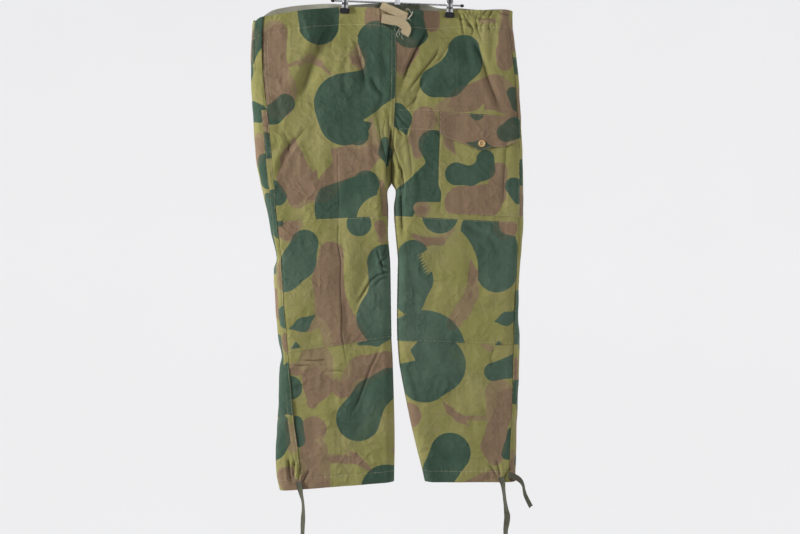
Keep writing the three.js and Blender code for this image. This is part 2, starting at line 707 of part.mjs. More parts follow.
function rod() {
  const bar = new THREE.CylinderGeometry(ROD_RADIUS, ROD_RADIUS, ROD_LENGTH, 20);
  bar.rotateZ(0.5 * Math.PI);
  addMesh(hanger, "hanger_rod", bar, "chrome").position.z = -ROD_DROP;
  const block = new THREE.Shape().moveTo(-COLLAR.half, -COLLAR.under).lineTo(COLLAR.half, -COLLAR.under)
    .lineTo(COLLAR.half, COLLAR.above).lineTo(-COLLAR.half, COLLAR.above).closePath();
  block.holes.push(new THREE.Path().absarc(0, 0, ROD_RADIUS + SEAM_GAP, 0, 2 * Math.PI, true));
  addMesh(hanger, "hanger_collar", extrudeAcross(block, COLLAR.depth), "chrome").position.z = -ROD_DROP;
  for (const [name, side] of [["rod_cap_right", -1], ["rod_cap_left", 1]]) {
    const profile = [[0, 0.3], [2.4, 0.3], [3.4, 2], [3.6, 4.5], [2.8, 7], [1.4, 8.4], [0, 8.8]];
    const cap = new THREE.LatheGeometry(profile.map(([r, h]) => new THREE.Vector2(r, h)), 20);
    cap.rotateZ(-side * 0.5 * Math.PI);
    addMesh(hanger, name, cap, "rubber").position.set(side * 0.5 * ROD_LENGTH, 0, -ROD_DROP);
  }
}

// One jaw of a clip, seen from the side: a bent plate with its finger grip above the rod.
function jawShape(side) {
  const out = CLIP_HALF_GRIP + SEAM_GAP + CLIP_PAD.thick + SEAM_GAP;
  const near = 4.9;
  const tip = CLIP_PAD.slotFloor + SEAM_GAP - CLIP_PAD.below - 0.5 * CLIP_PAD.height;
  const bends = [[out, tip], [out, -11], [near, -4], [near, 4], [11, 14], [15.5, 25]];
  const faces = [...bends, ...bends.map(([y, z]) => [y + JAW_PLATE, z]).reverse()];
  return new THREE.Shape(faces.map(([y, z]) => new THREE.Vector2(side * y, z)));
}

// A rubber pad, folded round the end of the plate, seen from the side.
function padShape(side) {
  const { height, thick, cover, slotFloor, below } = CLIP_PAD;
  const near = CLIP_HALF_GRIP + SEAM_GAP;
  const slot = near + thick;
  const slotFar = slot + JAW_PLATE + 2 * SEAM_GAP;
  const top = 0.5 * height - below;
  const low = -0.5 * height - below;
  const floor = low + slotFloor;
  const corners = [[near, top], [slot, top], [slot, floor], [slotFar, floor], [slotFar, top],
    [slotFar + cover, top - 1], [slotFar + cover, low + 1], [slotFar, low], [near, low]];
  return new THREE.Shape(corners.map(([y, z]) => new THREE.Vector2(side * y, z)));
}

function clip(name, x) {
  const group = new THREE.Group();
  group.position.set(x, 0, -ROD_DROP);
  hanger.add(group);
  const ring = new THREE.Shape().absarc(0, 0, 4.4, 0, 2 * Math.PI);
  ring.holes.push(new THREE.Path().absarc(0, 0, ROD_RADIUS + SEAM_GAP, 0, 2 * Math.PI, true));
  addMesh(group, `${name}_spring`, extrudeAcross(ring, 12), "chrome");
  for (const [face, side] of [["front", -1], ["back", 1]]) {
    addMesh(group, `${name}_${face}_arm`, extrudeAcross(jawShape(side), 14), "chrome");
    addMesh(group, `${name}_${face}_pad`, extrudeAcross(padShape(side), CLIP_PAD.width), "rubber");
  }
}

hook();
rod();
clip("clip_right", -0.5 * CLIP_SPREAD);
clip("clip_left", 0.5 * CLIP_SPREAD);

const part = new THREE.Group();
part.add(cloth, hanger);

export default part;
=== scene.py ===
"""Camouflage overtrousers hanging by the waist from a two-clip hanger.

Sizes are in millimetres, as a cutter would give them, and become metres when a mesh is
made. "drop" is how far a place lies below the rail. Right and left are the wearer's:
the right leg is on the -X side, and the front faces -Y.
"""
import json
import math
import bpy
import numpy as np
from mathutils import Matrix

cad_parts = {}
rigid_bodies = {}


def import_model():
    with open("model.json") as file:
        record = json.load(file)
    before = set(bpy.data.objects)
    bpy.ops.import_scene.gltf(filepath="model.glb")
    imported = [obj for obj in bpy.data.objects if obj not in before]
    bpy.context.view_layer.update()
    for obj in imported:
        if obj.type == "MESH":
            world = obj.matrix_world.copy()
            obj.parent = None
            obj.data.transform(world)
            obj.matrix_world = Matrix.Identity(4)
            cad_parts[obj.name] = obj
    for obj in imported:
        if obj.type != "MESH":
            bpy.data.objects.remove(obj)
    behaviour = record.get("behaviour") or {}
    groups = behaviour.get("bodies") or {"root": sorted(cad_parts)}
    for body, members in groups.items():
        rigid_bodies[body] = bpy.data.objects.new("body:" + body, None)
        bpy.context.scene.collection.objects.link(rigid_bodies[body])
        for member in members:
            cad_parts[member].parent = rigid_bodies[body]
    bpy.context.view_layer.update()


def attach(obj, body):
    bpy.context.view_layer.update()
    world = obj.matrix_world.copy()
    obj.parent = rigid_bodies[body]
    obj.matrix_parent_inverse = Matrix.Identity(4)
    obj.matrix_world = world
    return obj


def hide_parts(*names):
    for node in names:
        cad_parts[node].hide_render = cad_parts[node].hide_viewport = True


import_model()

MM = 0.001


# ------------------------------------------------------------------ sizes of the garment
# Level lines of the cloth, from the waist edge to the hem.
WAIST = 110
CASING = 40
CROTCH = 504
HEM = 1178
HEM_CASING = 25
# How round the folded side and the inner leg are, and how far the felled seam laps.
SIDE_ROUND = 27
INSEAM_ROUND = 22
FELL = 14
SEAM_GAP = 0.3
SLIT = {"top": 160, "bottom": 325, "gap": 1.2, "ease": 12}
CLOTH_WALL = 1.1
# Sewing lies this far in from an edge.
SEAM_IN = 2.2
STITCH = {"pitch": 3.2, "length": 2.3, "width": 0.75, "proud": 0.45}
# How high the outer face of each layer stands over the panels.
LAYER_GAP = 0.5
FELL_TOP = 1.3
PATCH_TOP = 1.5
POCKET_TOP = 2.0
FLAP_TOP = 4.0
FLAP_STANDS_OFF = 2.4
# Nominal widths, and how far apart the rows of places lie on each kind of piece.
PANEL_WIDTH = {"front": 300, "back": 385}
KNEE_WIDTH = 290
FRONT_PITCH = 2.68
BACK_PITCH = 4.5
KNEE_PITCH = 2.6
POCKET_PITCH = 2.0
STRIP_PITCH = 2.6
KNEE_TOP = 578
KNEE_BOTTOM = {"right": 851, "left": 859}
CENTRE_SEAM_END = 440
SLIT_STRIP = {"from": 152, "to": 240}
# The tacks: x from and to, drop and height.
TACKS = {"right": (-243, -221, 877, 13), "left": (216, 231, 868, 9)}
POCKET = {"top": 366, "bottom": 566, "flap_top": 338, "from": 92, "to": 268}
# The flap's lower edge, as (x, drop) places.
FLAP_EDGE = np.array([(92, 392), (103, 402), (128, 411), (160, 422), (184, 431), (208, 425),
                      (236, 423), (270, 410)], float)
BUTTON = {"x": 185.5, "drop": 416, "rim": 6.9, "hole_out": 1.9, "hole": 0.85, "thread": 0.2}
# The button's section: radius and height over its seat.
BUTTON_PROFILE = [(0.0, 1.0), (1.2, 1.0), (3.2, 1.05), (4.2, 1.5), (4.9, 2.2), (5.9, 2.7),
                  (6.9, 2.6), (7.7, 2.0), (8.0, 1.3), (7.7, 0.6), (6.9, 0.15), (4.5, 0.1),
                  (0.0, 0.1)]
GATHERS = {"from": 128, "to": 240, "swell": 1.1, "width": 2.7, "depth": 2.6,
           "clip_reach": (14, 24)}
# The small folds of the gathered waist: a run of (x, drop) places and a share of the depth.
GATHER_FOLDS = [
    ([(143, 112), (150, 128), (160, 144), (170, 160)], 1.0),
    ([(157, 110), (161, 118), (166, 128)], 0.8),
    ([(182, 108), (176, 122), (173, 134), (175, 150), (176, 166)], 1.2),
    ([(200, 108), (194, 118), (187, 128), (177, 146)], 1.1),
    ([(211, 108), (206, 120), (199, 134)], 1.0),
    ([(220, 114), (228, 122), (244, 125), (254, 123)], 1.0),
    ([(136, 114), (140, 132), (143, 150), (148, 176)], 0.9),
    ([(164, 128), (178, 132), (192, 135), (222, 136)], 0.8),
    ([(152, 140), (164, 150), (168, 158), (160, 178)], 0.9),
    ([(148, 110), (156, 122), (160, 138)], 0.6),
    ([(188, 108), (184, 122), (174, 136)], 0.7),
    ([(218, 110), (208, 122), (196, 138)], 0.7),
    ([(194, 138), (185, 150), (187, 174)], 0.8),
    ([(207, 136), (201, 150), (206, 170)], 0.7),
    ([(214, 138), (217, 154), (214, 170)], 0.5),
    ([(172, 112), (168, 120), (170, 130)], 0.6),
    ([(132, 128), (150, 134), (160, 130)], 0.5),
]

# One row for each section down the garment: the x of each leg's edges, the depth from
# front to back, how far in the side seams lie, and how much lower a level line of the
# cloth lies at the side than at the inner edge.
SECTION_COLUMNS = ("drop", "outer_right", "inner_right", "inner_left", "outer_left", "depth",
                   "inset_right", "inset_left", "slant_right", "slant_left")
SECTIONS = np.array([
    (110, -331, -7, -7, 258, 44, 26, 10, 0, 0),
    (150, -336.5, -7, -7, 259, 48, 28, 10, 0, 0),
    (260, -336, -7, -7, 270, 58, 31, 10, 0, 12),
    (380, -328.5, -12, -12, 278, 62, 37, 10, 1, 20),
    (440, -324.5, -16.5, -16.5, 280, 62, 38, 10, 3, 18),
    (486, -317, -17, -17, 281, 61, 34, 11, 5, 17),
    (504, -314, -17.2, -16.8, 281, 60, 32, 11, 6, 16),
    (520, -310, -26, -8, 281, 60, 31, 11, 8, 16),
    (560, -301.5, -24.5, -12, 282, 58, 24, 12, 11, 16),
    (620, -288.5, -25.5, -7.5, 280.5, 56, 17, 13, 17, 15),
    (676, -277, -21, -2.5, 276, 54, 12, 10, 22, 14),
    (700, -283, -20, -3, 274, 54, 19, 9, 25, 13),
    (800, -278, -18.5, -4.5, 269.5, 52, 21, 10, 33, 11),
    (850, -274, -17.5, -4, 271.5, 52, 21, 13, 37, 9),
    (893, -267, -15, -1.5, 271.5, 51, 17, 14, 37, 8),
    (920, -271.5, -14, 1.5, 270.5, 50, 24, 14, 36, 8),
    (1040, -277, -10.5, 25, 268, 47, 40, 15, 29, 4),
    (1100, -280, -10, 39, 267, 46, 51, 17, 25, 2),
    (1160, -278, -11, 54, 265, 45, 56, 17, 21, 0),
    (1200, -269, -11, 62, 264, 44, 52, 17, 19, 0),
])

# The drop of the waist edge along x: the front sags between the clips.
WAIST_EDGE = np.array([
    # x, front, back
    (-326, 138, 133),
    (-313, 130.5, 123),
    (-290, 126, 108),
    (-255, 120, 99.5),
    (-225, 115.5, 96),
    (-180, 109.5, 94),
    (-140, 104.5, 96.5),
    (-105, 103.5, 98),
    (-54, 108, 92),
    (-7, 116, 91.5),
    (34, 114, 94),
    (66, 114, 98),
    (92, 112.5, 106),
    (135, 109.5, 106),
    (170, 113, 107),
    (220, 115, 105),
    (245, 113.5, 106),
    (258, 113.5, 112),
])

# The largest folds, as soft troughs and ridges along straight runs.
FRONT_FOLDS = [
    # x0, drop0, x1, drop1, width, rise
    (-144, 130, -230, 325, 34, -6),
    (-100, 150, -80, 290, 30, -4),
    (-175, 150, -262, 300, 40, 3),
    (63, 160, -5, 305, 24, -6),
    (97, 205, 16, 330, 26, -5),
    (171, 164, 215, 330, 36, -5),
    (2, 430, 10, 610, 22, -4),
    (-151, 418, -136, 628, 26, -4),
    (-130, 640, -116, 850, 26, -4),
    (-38, 905, -110, 1040, 30, -4),
    (-54, 655, -97, 778, 30, -5),
    (148, 612, 227, 655, 30, -3),
]
BACK_FOLDS = [
    (-130, 120, -60, 330, 40, -6),
    (125, 130, 60, 320, 36, -6),
    (-40, 420, -150, 520, 40, -5),
    (20, 420, 140, 520, 40, -5),
    (-150, 620, -140, 860, 36, -4),
    (130, 640, 125, 880, 36, -4),
]

# Narrow creases: a run of (x, drop) places, how wide the valley is and how deep.
FRONT_CREASES = [
    # the pressed crease down the wearer's right leg
    ([(-137, 408), (-139, 470), (-136, 540), (-134, 600)], 1.8, 0.35),
    ([(-136, 520), (-136, 590), (-138, 640), (-131, 682), (-133, 740), (-130, 790),
      (-129, 850), (-117, 912), (-110, 970)], 1.8, 0.9),
    # from the wearer's right clip, down to the hip
    ([(-146, 128), (-178, 185), (-200, 245), (-226, 320)], 11, 3.0),
    ([(-132, 140), (-150, 176), (-158, 214)], 4, 1.6),
    ([(-160, 150), (-174, 170), (-190, 214)], 3, 1.2),
    ([(-118, 140), (-116, 190), (-124, 250), (-122, 330)], 6, 1.2),
    ([(-99, 176), (-92, 215), (-80, 262), (-74, 300)], 4.5, 1.8),
    ([(-66, 262), (-50, 292), (-30, 312)], 5, 2.4),
    ([(-40, 150), (-36, 215), (-26, 280)], 8, 1.3),
    # about the tape's slot and the top of the fly
    ([(-41, 104), (-41, 136), (-41, 168)], 1.8, 1.4),
    ([(-44, 140), (-16, 153), (4, 158), (28, 162)], 3.0, 2.8),
    # the pull across the right thigh
    ([(-236, 398), (-256, 440), (-276, 492)], 7, 2.8),
    ([(-205, 375), (-236, 412), (-252, 430)], 5, 1.2),
    ([(-262, 380), (-248, 420), (-246, 452)], 5, 1.0),
    ([(-216, 420), (-186, 470), (-180, 520)], 9, 1.0),
    ([(-280, 300), (-268, 350), (-272, 400)], 6, 1.1),
    # gathered into the crotch
    ([(-26, 330), (-22, 392), (-20, 450), (-19, 480)], 3.6, 1.6),
    ([(-48, 352), (-42, 400), (-32, 440), (-27, 484)], 3.6, 1.3),
    ([(-66, 344), (-60, 420), (-52, 480), (-50, 545)], 6, 1.2),
    ([(-18, 396), (-14, 420), (-5, 446), (4, 474), (10, 500), (10, 548)], 2.8, 2.6),
    ([(-12, 352), (-2, 384), (14, 410)], 3.0, 1.3),
    ([(-14, 338), (8, 366), (30, 388)], 2.8, 1.2),
    ([(12, 372), (20, 412), (27, 460), (28, 512)], 3.4, 1.1),
    ([(-34, 300), (-50, 345), (-44, 380)], 6, 1.3),
    ([(-30, 352), (-36, 388), (-30, 420)], 2.8, 1.0),
    ([(2, 470), (4, 520), (6, 575), (9, 640)], 4, 2.6),
    ([(-44, 480), (-40, 540), (-36, 600)], 5, 1.5),
    # from the wearer's left clip, down to the fly
    ([(66, 146), (52, 176), (36, 206), (18, 246), (2, 286)], 3.2, 3.0),
    ([(98, 190), (80, 218), (58, 246), (40, 270), (14, 308)], 3.0, 2.4),
    ([(122, 176), (96, 218), (80, 240)], 3.0, 1.3),
    ([(146, 158), (150, 204), (160, 246)], 7, 1.3),
    ([(160, 160), (182, 214), (198, 268), (222, 330), (238, 352)], 6.5, 3.2),
    ([(212, 158), (209, 196), (206, 240)], 7, 1.8),
    ([(180, 132), (176, 156), (190, 196)], 4, 1.5),
    ([(60, 268), (40, 300), (28, 340)], 4, 1.4),
    ([(12, 340), (30, 322), (50, 300)], 3, 1.1),
    # the inner thigh and knee of the right leg
    ([(-14, 650), (-22, 661), (-36, 677), (-42, 685), (-32, 692), (-18, 700)], 2.7, 2.5),
    ([(-50, 650), (-46, 666), (-41, 684), (-37, 700), (-32, 720)], 2.6, 2.0),
    ([(-4, 698), (-26, 704), (-47, 711), (-64, 724), (-74, 741), (-84, 757), (-100, 786)],
     2.8, 2.5),
    ([(-28, 632), (-32, 656), (-39, 676)], 4, 1.8),
    ([(-22, 712), (-44, 722), (-58, 740)], 3, 1.5),
    ([(-240, 914), (-214, 915), (-192, 912)], 2.6, 1.2),
    ([(-222, 903), (-190, 904), (-156, 901)], 2.6, 1.2),
    ([(-170, 930), (-140, 925), (-112, 931)], 4, 0.8),
    # down the right shin
    ([(-36, 862), (-64, 918), (-80, 962), (-94, 998), (-112, 1032)], 2.7, 1.6),
    ([(-60, 1000), (-96, 1060), (-92, 1080)], 9, 1.2),
    ([(-150, 1010), (-130, 1060), (-134, 1100)], 10, 0.9),
    ([(-200, 1010), (-190, 1070), (-196, 1110)], 9, 0.8),
    # the left thigh, knee and shin
    ([(146, 594), (168, 614), (200, 628), (226, 652)], 6, 2.4),
    ([(40, 470), (46, 520), (38, 560)], 7, 1.4),
    ([(20, 640), (22, 690), (30, 730)], 7, 1.2),
    ([(60, 700), (76, 740), (70, 790)], 9, 0.9),
    ([(150, 640), (160, 700), (152, 760)], 10, 0.9),
    ([(210, 690), (222, 740), (216, 800)], 9, 0.9),
    ([(12, 900), (36, 960), (52, 1030)], 7, 1.2),
    ([(120, 930), (112, 990), (118, 1060)], 11, 1.0),
    ([(180, 960), (196, 1030), (190, 1110)], 10, 0.9),
    ([(215, 870), (205, 900), (214, 925)], 5, 0.9),
    # the crotch falls back on the right and rolls forward on the left
    ([(-17, 366), (-19, 421), (-24, 465), (-24, 520)], 4.2, 5.4),
    ([(-8, 392), (-4, 436), (2, 500)], 5, -1.6),
    # drawn in by the ankle tapes
    ([(218, 1122), (224, 1148), (229, 1174)], 3.2, 1.8),
    ([(200, 1134), (216, 1156), (225, 1176)], 3.2, 1.5),
    ([(252, 1140), (241, 1160), (233, 1176)], 3.4, 1.8),
    ([(-250, 1118), (-246, 1160), (-237, 1192)], 3.6, 3.6),
    ([(-236, 1124), (-237, 1160), (-229, 1192)], 3.2, 3.2),
    ([(-224, 1136), (-226, 1160), (-226, 1188)], 3, 2.0),
    ([(-200, 1148), (-211, 1166), (-222, 1186)], 3.4, 2.0),
    # the pocket's fold, and its faint pressed line
    ([(246, 392), (240, 423), (236, 486), (233, 580)], 4.6, 1.7),
    ([(142, 420), (142, 500), (142, 590)], 5.4, 0.25),
]
BACK_CREASES = [
    ([(-128, 128), (-104, 190), (-84, 260)], 6, 2.6),
    ([(-108, 132), (-126, 210), (-160, 290)], 9, 2.0),
    ([(128, 130), (104, 200), (78, 280)], 6, 2.6),
    ([(112, 134), (140, 214), (166, 300)], 9, 2.0),
    ([(-24, 300), (-30, 400), (-26, 480)], 5, 2.0),
    ([(8, 320), (14, 410), (18, 500)], 5, 2.0),
    ([(-40, 440), (-90, 500), (-150, 540)], 7, 2.2),
    ([(-36, 470), (-70, 540), (-110, 600)], 6, 1.8),
    ([(20, 440), (76, 496), (140, 530)], 7, 2.2),
    ([(20, 480), (60, 560), (100, 610)], 6, 1.8),
    ([(-146, 600), (-150, 720), (-140, 860)], 3.4, 1.8),
    ([(128, 610), (134, 740), (126, 880)], 3.4, 1.8),
    ([(-60, 700), (-110, 740), (-170, 748)], 5, 1.6),
    ([(40, 720), (96, 752), (150, 756)], 5, 1.6),
    ([(-90, 930), (-120, 1000), (-124, 1100)], 8, 1.3),
    ([(110, 930), (150, 1010), (156, 1100)], 8, 1.3),
    ([(-220, 240), (-232, 330), (-216, 420)], 9, 1.5),
    ([(190, 240), (204, 330), (190, 430)], 9, 1.5),
]

# Tape routes, repeated from the part. turn is how far the face is turned, in degrees.
# Each row is x, y, drop, turn.
WAIST_TAPE_A = [(-39, -24.4, 133, 0), (-20, -25, 137, 0), (-3, -25.6, 140, 0),
                (11, -26.2, 149, 4), (17, -26.4, 159, 4), (12, -26.2, 170, 4)]
WAIST_TAPE_B = [(-40, -25.2, 103, 10), (-25, -26.6, 111, 6), (-7, -27.6, 119, 4),
                (7, -28.2, 126, 4), (17, -28.4, 130, 4)]
ANKLE_TAPES = {
    "ankle_tape_right": [
        (-226, -25.6, 1176, 0), (-223, -26, 1190, 20), (-220, -25.5, 1204, 45),
        (-216, -24, 1222, 60), (-215, -23, 1242, 55), (-216, -22.5, 1262, 40),
        (-217, -22, 1294, 50), (-217, -22, 1334, 60)],
    "ankle_tape_left_long": [
        (229, -25.5, 1166, 0), (233, -26.5, 1178, 30), (235, -26, 1190, 55),
        (238.5, -24, 1217, 60), (241.5, -23, 1238, 45), (243.5, -22.5, 1256, 10),
        (240.5, -22, 1286, 45), (240, -22, 1334, 65)],
    "ankle_tape_left_short": [
        (246, -22.9, 1160, 0), (256, -22.4, 1164, -12), (266, -20.6, 1169, -30),
        (274, -19.4, 1176, -45), (279, -18, 1185, -60), (281, -16, 1196, -60),
        (285, -15, 1210, -50), (297, -14, 1234, -45)],
}
ANKLE_TAPE_WIDTH = 14
WAIST_TAPE_WIDTH = {"a": 21, "b": 17}


# ------------------------------------------------------------------ the printed cloth
def bitten(chain, *bites):
    """A motif with other soft chains bitten out of it."""
    return chain, bites


